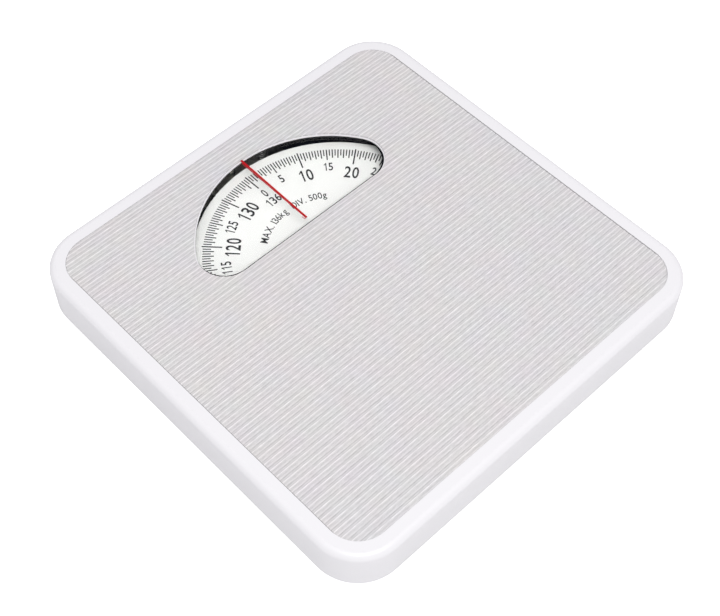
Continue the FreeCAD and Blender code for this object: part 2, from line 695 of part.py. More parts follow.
# ---------------------------------------------------------------- levers
def lever_pins(start, heading, arm):
    """Pivot pin and load pin pressed through a lever."""
    pins = [Part.makeCylinder(PIN_R, 2 * PIN_HALF, V(x, -PIN_HALF, PIN_Z), ALONG_Y) for x in (0, arm)]
    return place(Part.makeCompound(pins), start[0], start[1], heading)


def pin_bores(arm):
    """Cutting tool for a lever's two pin holes."""
    reach = LEVER_THICK
    places = [V(x, -reach, PIN_Z) for x in (0, arm)]
    return Part.makeCompound([Part.makeCylinder(PIN_R, 2 * reach, p, ALONG_Y) for p in places])


def long_lever(side):
    """Front lever: fulcrum at a front corner, nose on the calibration plate."""
    x, y, heading, length = long_lever_place(side)
    half = LEVER_THICK / 2
    bar = block(-LEVER_TAIL, length - BODY_END_BACK, -half, half, LEVER_LOW_Z, LEVER_HIGH_Z)
    nose = block(length - NOSE_RUN, length + NOSE_OVERHANG, -half, half, NOSE_LOW_Z, NOSE_HIGH_Z)
    reach = math.hypot(side * CROSSING[0] - x, CROSSING[1] - y)
    slot = block(reach - SLOT_HALF, reach + SLOT_HALF, -LEVER_THICK, LEVER_THICK, SLOT_LOW_Z, SLOT_HIGH_Z)
    lever = bar.fuse(nose).cut(slot).cut(pin_bores(LONG_LOAD_ARM))
    return place(lever, x, y, heading)


def short_lever(side):
    """Rear lever: fulcrum at a rear corner, tongue through the long lever's slot."""
    x, y, heading, length = short_lever_place(side)
    half = LEVER_THICK / 2
    bar = block(-LEVER_TAIL, length - TONGUE_RUN, -half, half, LEVER_LOW_Z, LEVER_HIGH_Z)
    tongue = block(length - TONGUE_RUN - half, length + TONGUE_PAST, -half, half, TONGUE_LOW_Z, TONGUE_HIGH_Z)
    lever = bar.fuse(tongue).cut(pin_bores(SHORT_LOAD_ARM))
    return place(lever, x, y, heading)


# ---------------------------------------------------------------- springs and zero
def zero_screw():
    """Upright screw that hangs the carrier from the spring frame."""
    shank = rod(0, SCREW_Y, ZERO_SCREW_LOW_Z, FRAME_TOP_Z + NOTCH_CLEAR, ZERO_SCREW_R)
    head = rod(0, SCREW_Y, FRAME_TOP_Z + NOTCH_CLEAR, SCREW_HEAD_Z, SCREW_HEAD_R)
    return shank.fuse(head)


def zero_knob():
    """Fluted wheel at the rear edge that sets zero."""
    knob = tube(0, SCREW_Y, KNOB_LOW_Z, KNOB_HIGH_Z, KNOB_R, ZERO_SCREW_R)
    flutes = []
    for i in range(KNOB_FLUTES):
        a = 2 * math.pi * i / KNOB_FLUTES
        x, y = KNOB_R * math.cos(a), SCREW_Y + KNOB_R * math.sin(a)
        flutes.append(rod(x, y, KNOB_LOW_Z - CUT_PAST, KNOB_HIGH_Z + CUT_PAST, FLUTE_R))
    return knob.cut(Part.makeCompound(flutes))


def spring_carrier():
    """Cross plate that the zero screw raises and lowers."""
    low, high = CARRIER_LOW_Z - CARRIER_HUB_REACH, CARRIER_HIGH_Z + CARRIER_HUB_REACH
    y0, y1 = SCREW_Y - CARRIER_HALF_Y, SCREW_Y + CARRIER_HALF_Y
    plate = block(-CARRIER_HALF_X, CARRIER_HALF_X, y0, y1, CARRIER_LOW_Z, CARRIER_HIGH_Z)
    carrier = plate.fuse(rod(0, SCREW_Y, low, high, CARRIER_HUB_R))
    return carrier.cut(rod(0, SCREW_Y, low - CUT_PAST, high + CUT_PAST, ZERO_SCREW_R + NOTCH_CLEAR))


def main_spring(side):
    """Weighing spring between the plate's ear and the carrier."""
    return tube(side * SPRING_X, SCREW_Y, EAR_LOW_Z + PLATE_THICK, CARRIER_LOW_Z, SPRING_R, SPRING_BORE_R)


def calibration_plate():
    """Stepped plate under the lever noses, hung from the main springs."""
    top = PLATE_LOW_Z + PLATE_THICK
    plate = block(-PLATE_HALF_X, PLATE_HALF_X, PLATE_FRONT_Y, PLATE_REAR_Y, PLATE_LOW_Z, top)
    inner = PLATE_HALF_X - PLATE_THICK
    ear_top = EAR_LOW_Z + PLATE_THICK
    for _, side in SIDES:
        wall = block(side * inner, side * PLATE_HALF_X, EAR_FRONT_Y, PLATE_REAR_Y, EAR_LOW_Z, top)
        ear = block(side * inner, side * EAR_HALF_X, EAR_FRONT_Y, PLATE_REAR_Y, EAR_LOW_Z, ear_top)
        plate = plate.fuse([wall, ear])
    tongue_low = TONGUE_TOP_Z - TONGUE_THICK
    riser_y = PLATE_FRONT_Y + RISER_THICK
    riser = block(-TONGUE_HALF_X, TONGUE_HALF_X, PLATE_FRONT_Y, riser_y, tongue_low, top)
    tongue = block(-TONGUE_HALF_X, TONGUE_HALF_X, TONGUE_FRONT_Y, riser_y, tongue_low, TONGUE_TOP_Z)
    plate = plate.fuse([riser, tongue])
    return plate.cut(rod(0, SCREW_Y, PLATE_LOW_Z - CUT_PAST, top + CUT_PAST, PLATE_HOLE_R))


# ---------------------------------------------------------------- crank and rack
def crank_arm(tip_y, tip_z, half_width, tip_r):
    """Flat arm from the pivot to a round tip, in the YZ plane."""
    run = math.hypot(tip_y - CRANK_Y, tip_z - CRANK_Z)
    arm = block(-CRANK_HALF, CRANK_HALF, 0, run, -half_width, half_width)
    arm.rotate(V(0, 0, 0), ALONG_X, math.degrees(math.atan2(tip_z - CRANK_Z, tip_y - CRANK_Y)))
    arm.translate(V(0, CRANK_Y, CRANK_Z))
    return arm.fuse(cross_rod(-CRANK_HALF, CRANK_HALF, tip_y, tip_z, tip_r))


def bell_crank():
    """Two-armed crank that turns the plate's drop into rack travel."""
    hub = cross_rod(-CRANK_HUB_HALF, CRANK_HUB_HALF, CRANK_Y, CRANK_Z, CRANK_HUB_R)
    long_y, long_z = crank_long_tip()
    short_y, short_z = crank_short_tip()
    crank = hub.fuse(crank_arm(long_y, long_z, CRANK_ARM_HALF, CRANK_ARM_HALF + CRANK_EYE))
    crank = crank.fuse(crank_arm(short_y, short_z, CRANK_SHORT_HALF, CRANK_TIP_R))
    crank = crank.cut(cross_rod(-CRANK_HUB_HALF, CRANK_HUB_HALF, CRANK_Y, CRANK_Z, CRANK_BORE_R))
    return crank.cut(cross_rod(-CRANK_HALF, CRANK_HALF, long_y, long_z, DRIVE_PIN_R))


def crank_drive_pin():
    """Pin of the long arm that pushes the rack's fork."""
    long_y, long_z = crank_long_tip()
    return cross_rod(DRIVE_PIN_LOW_X, DRIVE_PIN_HIGH_X, long_y, long_z, DRIVE_PIN_R)


def rack():
    """Toothed bar beside the pinion, with a fork for the drive pin."""
    pitch_x = GEAR_MODULE * PINION_TEETH / 2
    root_x = pitch_x + GEAR_DEDENDUM
    bar = block(root_x, RACK_BACK_X, RACK_FRONT_Y, RACK_REAR_Y, RACK_LOW_Z, RACK_HIGH_Z)
    pitch = math.pi * GEAR_MODULE
    slope = math.tan(math.radians(PRESSURE_DEG))
    tip_x = pitch_x - GEAR_ADDENDUM
    tip_half = pitch / 4 - slope * (pitch_x - tip_x) - GEAR_PLAY
    root_half = pitch / 4 + slope * (root_x - pitch_x) - GEAR_PLAY
    reach = GEAR_MODULE * PINION_TEETH * math.pi
    first = math.ceil(-(reach + RACK_RUNOUT) / pitch)
    last = math.floor(RACK_RUNOUT / pitch)
    teeth = []
    for i in range(first, last + 1):
        y = DIAL_Y + (i + 0.5) * pitch
        outline = Part.makePolygon([
            V(tip_x, y - tip_half, RACK_LOW_Z),
            V(root_x, y - root_half, RACK_LOW_Z),
            V(root_x + TOOTH_SINK, y - root_half, RACK_LOW_Z),
            V(root_x + TOOTH_SINK, y + root_half, RACK_LOW_Z),
            V(root_x, y + root_half, RACK_LOW_Z),
            V(tip_x, y + tip_half, RACK_LOW_Z),
            V(tip_x, y - tip_half, RACK_LOW_Z),
        ])
        teeth.append(Part.Face(outline).extrude(V(0, 0, RACK_HIGH_Z - RACK_LOW_Z)))
    bar = bar.fuse(teeth)
    bar = bar.fuse(block(FORK_X[0], FORK_X[1], FORK_FRONT_Y, FORK_REAR_Y, FORK_Z[0], FORK_Z[1]))
    slot_y, _ = crank_long_tip()
    y0, y1 = slot_y - FORK_SLOT_HALF, slot_y + FORK_SLOT_HALF
    slot = block(root_x - CUT_PAST, RACK_BACK_X + CUT_PAST, y0, y1, FORK_SLOT_LOW_Z, FORK_Z[1] + CUT_PAST)
    return bar.cut(slot)


def involute(base_r, radius):
    """Polar angle of an involute of the base circle, at a radius."""
    t = math.sqrt(max((radius / base_r) ** 2 - 1, 0))
    return t - math.atan(t)


def dial_pinion():
    """Small gear on the dial shaft."""
    pitch_r = GEAR_MODULE * PINION_TEETH / 2
    base_r = pitch_r * math.cos(math.radians(PRESSURE_DEG))
    tip_r = pitch_r + GEAR_ADDENDUM
    root_r = pitch_r - GEAR_DEDENDUM
    half = math.pi / (2 * PINION_TEETH) - GEAR_PLAY / pitch_r
    pinion = rod(0, DIAL_Y, PINION_LOW_Z, PINION_HIGH_Z, root_r)
    teeth = []
    for k in range(PINION_TEETH):
        middle = 2 * math.pi * k / PINION_TEETH
        flank = []
        for i in range(FLANK_STEPS + 1):
            r = base_r + (tip_r - base_r) * i / FLANK_STEPS
            flank.append((r, half + involute(base_r, pitch_r) - involute(base_r, r)))
        inner = [(root_r - TOOTH_SINK, flank[0][1])]
        side = inner + flank
        both = [(r, middle - a) for r, a in side] + [(r, middle + a) for r, a in reversed(side)]
        points = [V(r * math.cos(a), DIAL_Y + r * math.sin(a), PINION_LOW_Z) for r, a in both]
        outline = Part.makePolygon(points + points[:1])
        teeth.append(Part.Face(outline).extrude(V(0, 0, PINION_HIGH_Z - PINION_LOW_Z)))
    pinion = pinion.fuse(teeth)
    return pinion.cut(rod(0, DIAL_Y, PINION_LOW_Z, PINION_HIGH_Z, SHAFT_R))


def dial_disc():
    """Flat disc that carries the printed divisions."""
    disc = rod(0, DIAL_Y, DIAL_LOW_Z, DIAL_HIGH_Z, DIAL_R)
    return disc.cut(rod(0, DIAL_Y, DIAL_LOW_Z, DIAL_HIGH_Z, HUB_BARREL_R))


def dial_hub():
    """Moulded hub between the disc and its shaft."""
    flange = rod(0, DIAL_Y, HUB_FLANGE_Z, DIAL_LOW_Z, HUB_FLANGE_R)
    barrel = rod(0, DIAL_Y, HUB_BARREL_Z, HUB_CAP_Z, HUB_BARREL_R)
    cap = rod(0, DIAL_Y, DIAL_HIGH_Z, HUB_CAP_Z, HUB_CAP_R)
    return flange.fuse([barrel, cap]).cut(rod(0, DIAL_Y, HUB_BARREL_Z, HUB_CAP_Z, SHAFT_R))


def dial_shaft():
    """Steel shaft with a groove for the clip."""
    shaft = rod(0, DIAL_Y, SHAFT_LOW_Z, SHAFT_HIGH_Z, SHAFT_R)
    return shaft.cut(tube(0, DIAL_Y, CLIP_Z[0], CLIP_Z[1], SHAFT_R + CUT_PAST, CLIP_GROOVE_R))


def shaft_clip():
    """Spring clip that keeps the shaft in its bush."""
    clip = tube(0, DIAL_Y, CLIP_Z[0], CLIP_Z[1], CLIP_R, CLIP_GROOVE_R)
    front = DIAL_Y - CLIP_R - CUT_PAST
    return clip.cut(block(-CLIP_GAP_HALF, CLIP_GAP_HALF, front, DIAL_Y, CLIP_Z[0], CLIP_Z[1]))


# ---------------------------------------------------------------- all nodes
def main():
    """Write every node."""
    os.makedirs("parts", exist_ok=True)
    save("platform_cover", platform_cover())
    save("platform_mat", platform_mat())
    save("window_lens", window_lens())
    save("lens_seal", lens_seal())
    save("pointer", pointer())
    save("base_tray", base_tray())
    for name, x, y in foot_places():
        save(name, foot(x, y))
    for label, side in SIDES:
        x, y, heading, _ = long_lever_place(side)
        save("fulcrum_bracket_front_" + label, fulcrum_bracket((x, y), heading))
        save("load_post_front_" + label, load_post((x, y), heading, LONG_LOAD_ARM))
        save("long_lever_" + label, long_lever(side))
        save("long_lever_pins_" + label, lever_pins((x, y), heading, LONG_LOAD_ARM))
        x, y, heading, _ = short_lever_place(side)
        save("fulcrum_bracket_rear_" + label, fulcrum_bracket((x, y), heading))
        save("load_post_rear_" + label, load_post((x, y), heading, SHORT_LOAD_ARM))
        save("short_lever_" + label, short_lever(side))
        save("short_lever_pins_" + label, lever_pins((x, y), heading, SHORT_LOAD_ARM))
        save("main_spring_" + label, main_spring(side))
    save("bracket_rivets", bracket_rivets())
    save("hold_down_springs", hold_down_springs())
    save("spring_frame", spring_frame())
    save("spring_frame_screws", screws_at(frame_screw_places()))
    save("screw_bush", screw_bush())
    save("crank_bracket", crank_bracket())
    save("crank_bracket_rivets", crank_bracket_rivets())
    save("crank_pivot_pin", crank_pivot_pin())
    save("crank_return_spring", crank_return_spring())
    save("dial_bridge", dial_bridge())
    save("dial_bridge_screws", screws_at(bridge_screw_places()))
    save("dial_bush", dial_bush())
    save("rack_guide", rack_guide())
    save("zero_screw", zero_screw())
    save("zero_knob", zero_knob())
    save("spring_carrier", spring_carrier())
    save("calibration_plate", calibration_plate())
    save("bell_crank", bell_crank())
    save("crank_drive_pin", crank_drive_pin())
    save("rack", rack())
    save("dial_pinion", dial_pinion())
    save("dial_disc", dial_disc())
    save("dial_hub", dial_hub())
    save("dial_shaft", dial_shaft())
    save("shaft_clip", shaft_clip())


main()
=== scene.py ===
import json
import math

import bpy
from mathutils import Matrix, Vector


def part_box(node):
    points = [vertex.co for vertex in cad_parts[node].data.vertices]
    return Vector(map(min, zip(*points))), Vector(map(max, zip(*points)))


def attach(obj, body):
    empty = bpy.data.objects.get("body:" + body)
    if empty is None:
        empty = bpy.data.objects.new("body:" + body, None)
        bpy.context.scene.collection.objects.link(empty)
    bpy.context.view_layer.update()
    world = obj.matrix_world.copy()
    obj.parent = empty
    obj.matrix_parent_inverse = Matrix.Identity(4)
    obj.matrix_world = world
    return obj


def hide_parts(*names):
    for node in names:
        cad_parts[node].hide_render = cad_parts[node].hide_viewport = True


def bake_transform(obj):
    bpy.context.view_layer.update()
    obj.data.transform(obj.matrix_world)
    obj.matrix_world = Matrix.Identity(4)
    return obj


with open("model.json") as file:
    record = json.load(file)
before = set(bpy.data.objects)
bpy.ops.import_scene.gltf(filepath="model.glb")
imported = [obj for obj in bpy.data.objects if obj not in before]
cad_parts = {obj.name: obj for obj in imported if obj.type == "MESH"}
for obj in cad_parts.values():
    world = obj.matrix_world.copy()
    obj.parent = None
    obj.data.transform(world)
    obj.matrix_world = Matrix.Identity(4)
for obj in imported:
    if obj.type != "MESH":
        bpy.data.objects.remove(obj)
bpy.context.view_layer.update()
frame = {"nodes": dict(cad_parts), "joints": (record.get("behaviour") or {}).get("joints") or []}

bl_info = {
    "name": "Dial Bathroom Scale",
    "version": (1, 0, 0),
    "blender": (4, 5, 0),
    "location": "3D View > Sidebar > Scale",
    "description": "Finishes and fine parts of a mechanical dial bathroom scale",
    "category": "Object",
}

MM = 0.001
TINY = 0.01 * MM
NODES = frame["nodes"]
JOINTS = {j["name"]: j for j in frame["joints"]}
DIAL_CENTRE = Vector(JOINTS["dial_spin"]["pos_m"])
DIAL_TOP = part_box("dial_disc")[1].z
MAT_LOW, MAT_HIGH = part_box("platform_mat")
FINISH = "_finish"


# ------------------------------------------------------------------ settings
class ScaleSizes(bpy.types.PropertyGroup):
    """Sizes that a user may change, in metres."""

    rib_pitch: bpy.props.FloatProperty(
        name="Rib pitch", description="Distance from one mat rib to the next",
        default=4.742 * MM, unit="LENGTH")
    rib_height: bpy.props.FloatProperty(
        name="Rib height", description="Height of the narrow ridge over the mat",
        default=0.20 * MM, unit="LENGTH")
    groove_depth: bpy.props.FloatProperty(
        name="Groove depth", description="Depth of the fine groove between ridges",
        default=0.22 * MM, unit="LENGTH")
    ink: bpy.props.FloatProperty(
        name="Ink thickness", description="Height of the print over the disc",
        default=0.04 * MM, unit="LENGTH")
    capacity: bpy.props.IntProperty(
        name="Capacity", description="Kilograms in one turn of the dial", default=136)
    wire: bpy.props.FloatProperty(
        name="Spring wire", description="Wire radius of the weighing springs",
        default=0.65 * MM, unit="LENGTH")


class ScaleColours(bpy.types.PropertyGroup):
    """Colours of the finishes, linear."""

    enamel: bpy.props.FloatVectorProperty(
        name="Enamel", description="White stove enamel", subtype="COLOR",
        default=(0.835, 0.828, 0.85), min=0, max=1)
    mat: bpy.props.FloatVectorProperty(
        name="Mat", description="Light grey vinyl", subtype="COLOR",
        default=(0.65, 0.62, 0.615), min=0, max=1)
    dial: bpy.props.FloatVectorProperty(
        name="Dial", description="White disc", subtype="COLOR",
        default=(0.80, 0.81, 0.80), min=0, max=1)
    ink: bpy.props.FloatVectorProperty(
        name="Ink", description="Black printing ink", subtype="COLOR",
        default=(0.012, 0.012, 0.014), min=0, max=1)
    pointer: bpy.props.FloatVectorProperty(
        name="Pointer", description="Signal red plastic", subtype="COLOR",
        default=(0.50, 0.004, 0.010), min=0, max=1)


# ------------------------------------------------------------------ small helpers
def deselect():
    """Leave edit mode and select nothing."""
    if bpy.context.object and bpy.context.object.mode != "OBJECT":
        bpy.ops.object.mode_set(mode="OBJECT")
    bpy.ops.object.select_all(action="DESELECT")


def activate(obj):
    """Make one object the only selected and active one."""
    deselect()
    obj.select_set(True)
    bpy.context.view_layer.objects.active = obj
    return obj


def apply_place(obj, location=True):
    """Put the object's turn, size and, unless it is to keep its origin, its place into its mesh."""
    activate(obj)
    bpy.ops.object.transform_apply(location=location, rotation=True, scale=True)
    return obj


def apply_modifiers(obj):
    """Apply every modifier in order."""
    activate(obj)
    for modifier in list(obj.modifiers):
        bpy.ops.object.modifier_apply(modifier=modifier.name)
    return obj


def edit(obj):
    """Open one object in edit mode with all of it selected."""
    activate(obj)
    bpy.ops.object.mode_set(mode="EDIT")
    bpy.ops.mesh.select_all(action="SELECT")


def extrude(x, y, z):
    """Extrude what is selected by a distance."""
    bpy.ops.mesh.extrude_region_move(TRANSFORM_OT_translate={"value": (x, y, z)})


def close_up():
    """Turn all faces outwards and leave edit mode."""
    bpy.ops.mesh.select_all(action="SELECT")
    bpy.ops.mesh.normals_make_consistent(inside=False)
    bpy.ops.object.mode_set(mode="OBJECT")


def select_faces(obj, test):
    """In edit mode, select the faces whose centre and normal pass a test."""
    bpy.ops.object.mode_set(mode="OBJECT")
    for edge in obj.data.edges:
        edge.select = False
    for vertex in obj.data.vertices:
        vertex.select = False
    for polygon in obj.data.polygons:
        polygon.select = test(polygon.center, polygon.normal)
        if polygon.select:
            for v in polygon.vertices:
                obj.data.vertices[v].select = True
    bpy.ops.object.mode_set(mode="EDIT")
    bpy.ops.mesh.select_mode(type="FACE")


def plane(place, size, turn=0.0):
    """Flat rectangle in the mesh's own place, turned about Z."""
    deselect()
    bpy.ops.mesh.primitive_plane_add(size=1, location=place)
    sheet = bpy.context.object
    sheet.scale = (*size, 1)
    sheet.rotation_euler = (0, 0, turn)
    return apply_place(sheet)


def join(objects, name):
    """Join meshes into one named piece."""
    piece = activate(objects[0])
    for obj in objects:
        obj.select_set(True)
    if len(objects) > 1:
        bpy.ops.object.join()
    piece.name = name
    piece.data.name = name
    return piece


def copy_of(obj):
    """Copy of an object with its own mesh."""
    other = obj.copy()
    other.data = obj.data.copy()
    bpy.context.scene.collection.objects.link(other)
    return other


def finish_piece(obj, finish_name, smooth_degrees=30):
    """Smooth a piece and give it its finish."""
    activate(obj)
    if smooth_degrees:
        bpy.ops.object.shade_smooth_by_angle(angle=math.radians(smooth_degrees))
    obj.data.materials.clear()
    obj.data.materials.append(finish(finish_name))
    return obj


# ------------------------------------------------------------------ shader helpers
def feed(tree, socket, value):
    """Link a socket to another one, or set it to a value."""
    if isinstance(value, bpy.types.NodeSocket):
        tree.links.new(value, socket)
    else:
        socket.default_value = value


def add_node(tree, kind, inputs, **settings):
    """Add a shader node with its settings, and feed its inputs by name or number."""
    node = tree.nodes.new("ShaderNode" + kind)
    for key, value in settings.items():
        setattr(node, key, value)
    for key, value in inputs.items():
        feed(tree, node.inputs[key], value)
    return node


def math_node(tree, operation, *values):
    """Math node fed by sockets or numbers; returns its output."""
    return add_node(tree, "Math", dict(enumerate(values)), operation=operation).outputs[0]


def noise(tree, place, scale, detail=2.0):
    """Noise at a place; returns its outputs."""
    return add_node(tree, "TexNoise", {"Vector": place, "Scale": scale, "Detail": detail}).outputs


def object_place(tree):
    """Place on the piece, in the piece's own space."""
    return tree.nodes.new("ShaderNodeTexCoord").outputs["Object"]


def bump_from(tree, shader, height, strength, distance):
    """Let a height shape a shader's normal."""
    bumped = add_node(tree, "Bump", {"Height": height, "Strength": strength, "Distance": distance})
    tree.links.new(bumped.outputs["Normal"], shader.inputs["Normal"])


# ------------------------------------------------------------------ shared effects
HUE_DRIFT = 0.065
MAT_PHASE = 1.874 * MM
# Width, start and darkness of the painted gap shadow along the mat's left and right edges.
GAP_SHADOW_WIDTH = 0.45 * MM
GAP_SHADOW_START = 0.3
GAP_SHADOW_LEVEL = 0.42
WANDER_SCALE = 260.0
STREAK_SCALE = 1500.0
STREAK_STRETCH = (0.16, 1.0, 1.0)
CLOUD_SCALE = 60.0
# Share of one rib pitch, and how light the vinyl is painted there: painted highlight on the ridge, painted shade
# in the grooves.
RIB_LIGHT_AND_SHADE = ((0.0, 0.80), (0.03, 0.52), (0.10, 0.44), (0.19, 0.54), (0.26, 0.38), (0.32, 0.04), (0.37, 0.02),
             (0.41, 0.44), (0.50, 0.62), (0.58, 0.54), (0.63, 0.26), (0.69, 0.40), (0.76, 0.18), (0.85, 0.50),
             (0.915, 0.56), (0.945, 1.0))


def new_group(name, inputs, outputs):
    """Empty shader node group with named sockets."""
    group = bpy.data.node_groups.new(name, "ShaderNodeTree")
    for label, kind, value in inputs:
        socket = group.interface.new_socket(label, in_out="INPUT", socket_type=kind)
        socket.default_value = value
    for label, kind in outputs:
        group.interface.new_socket(label, in_out="OUTPUT", socket_type=kind)
    return group, group.nodes.new("NodeGroupInput").outputs, group.nodes.new("NodeGroupOutput").inputs


def mottle_group():
    """Slow colour drift and fine grain, as colour, roughness and height."""
    group, given, result = new_group(
        "mottle",
        [("Colour", "NodeSocketColor", (0.8, 0.8, 0.8, 1)), ("Tint", "NodeSocketColor", (0.8, 0.8, 0.8, 1)),
         ("Drift scale", "NodeSocketFloat", 12.0), ("Grain scale", "NodeSocketFloat", 900.0),
         ("Drift", "NodeSocketFloat", 0.5), ("Roughness", "NodeSocketFloat", 0.4),
         ("Roughness spread", "NodeSocketFloat", 0.1)],
        [("Colour", "NodeSocketColor"), ("Roughness", "NodeSocketFloat"), ("Height", "NodeSocketFloat")])
    place = object_place(group)
    drift = noise(group, place, given["Drift scale"], 3.0)["Fac"]
    grain = noise(group, place, given["Grain scale"], 4.0)["Fac"]
    amount = math_node(group, "MULTIPLY", drift, given["Drift"])
    mix = add_node(group, "Mix", {"Factor": amount, 6: given["Colour"], 7: given["Tint"]}, data_type="RGBA")
    group.links.new(mix.outputs[2], result["Colour"])
    centred = math_node(group, "SUBTRACT", grain, 0.5)
    spread = math_node(group, "MULTIPLY", centred, given["Roughness spread"])
    group.links.new(math_node(group, "ADD", given["Roughness"], spread), result["Roughness"])
    group.links.new(grain, result["Height"])
    return group


def tone_curve(tree, factor):
    """Painted highlight and shade across one rib."""
    ramp = add_node(tree, "ValToRGB", {"Fac": factor})
    elements = ramp.color_ramp.elements
    elements[0].position = RIB_LIGHT_AND_SHADE[0][0]
    elements[1].position = RIB_LIGHT_AND_SHADE[-1][0]
    for position, _ in RIB_LIGHT_AND_SHADE[1:-1]:
        elements.new(position)
    for element, (_, value) in zip(elements, RIB_LIGHT_AND_SHADE):
        element.color = (value, value, value, 1)
    return ramp.outputs["Color"]


def rib_group(pitch):
    """Painted highlight lines on the ridges and painted shade lines in the grooves across Y, broken and streaked,
    with a painted gap shadow darkening the sheet's side edges.
    """
    group, given, result = new_group(
        "rib highlight and shade lines",
        [("Colour", "NodeSocketColor", (0.6, 0.6, 0.6, 1)), ("Ridge", "NodeSocketFloat", 0.3),
         ("Groove", "NodeSocketFloat", 0.2), ("Streak", "NodeSocketFloat", 0.2)],
        [("Colour", "NodeSocketColor"), ("Height", "NodeSocketFloat")])
    place = object_place(group)
    split = add_node(group, "SeparateXYZ", {0: place}).outputs
    turns = math_node(group, "DIVIDE", math_node(group, "SUBTRACT", split["Y"], MAT_PHASE), pitch)
    # Painted light across each rib: a highlight on the ridge and shade in the groove.
    painted_rib_light = tone_curve(group, math_node(group, "FRACT", turns))
    level = math_node(group, "SUBTRACT", painted_rib_light, 0.5)
    wander = noise(group, place, WANDER_SCALE)["Fac"]
    broken = math_node(group, "MULTIPLY", level, math_node(group, "MULTIPLY", wander, 2.0))
    # The lighter part is a painted ridge highlight and the darker part is painted groove shade.
    up = math_node(group, "MULTIPLY", math_node(group, "MAXIMUM", broken, 0.0), given["Ridge"])
    down = math_node(group, "MULTIPLY", math_node(group, "MINIMUM", broken, 0.0), given["Groove"])
    stretched = add_node(group, "Mapping", {"Vector": place, "Scale": STREAK_STRETCH}).outputs["Vector"]
    streak = math_node(group, "SUBTRACT", noise(group, stretched, STREAK_SCALE, 3.0)["Fac"], 0.5)
    uneven = math_node(group, "MULTIPLY", streak, given["Streak"])
    gain = math_node(group, "ADD", math_node(group, "ADD", up, down), uneven)
    gain = math_node(group, "ADD", gain, 1.0)
    # Painted shadow of the gap between mat and rim, darkening the mat towards its left and right edges.
    gap_shadow = add_node(group, "MapRange", {
        "Value": math_node(group, "ABSOLUTE", split["X"]), "From Min": MAT_HIGH.x - GAP_SHADOW_WIDTH,
        "From Max": MAT_HIGH.x - GAP_SHADOW_START * GAP_SHADOW_WIDTH, "To Min": 1.0, "To Max": GAP_SHADOW_LEVEL},
        interpolation_type="SMOOTHSTEP")
    gain = math_node(group, "MULTIPLY", gain, gap_shadow.outputs["Result"])
    scaled = add_node(group, "VectorMath", {0: given["Colour"], "Scale": gain}, operation="SCALE")
    cloud = noise(group, place, CLOUD_SCALE, 1.0)["Color"]
    hue = add_node(group, "VectorMath", {0: cloud, 1: [HUE_DRIFT] * 3, 2: [1 - HUE_DRIFT / 2] * 3},
                   operation="MULTIPLY_ADD")
    toned = add_node(group, "VectorMath", {0: scaled.outputs[0], 1: hue.outputs[0]}, operation="MULTIPLY")
    group.links.new(toned.outputs[0], result["Colour"])
    group.links.new(painted_rib_light, result["Height"])
    return group


# ------------------------------------------------------------------ materials
# Strengths of the painted ridge highlight, the painted groove shade and the random streaks.
RIDGE_HIGHLIGHT_GAIN, GROOVE_SHADE_GAIN, STREAK = 0.50, 0.30, 0.42
LENS_IOR = 1.49
LENS_ROUGHNESS = 0.02
# Scale, strength and height of the moulding's slow waves.
LENS_WAVE = (30.0, 0.04, 0.2 * MM)

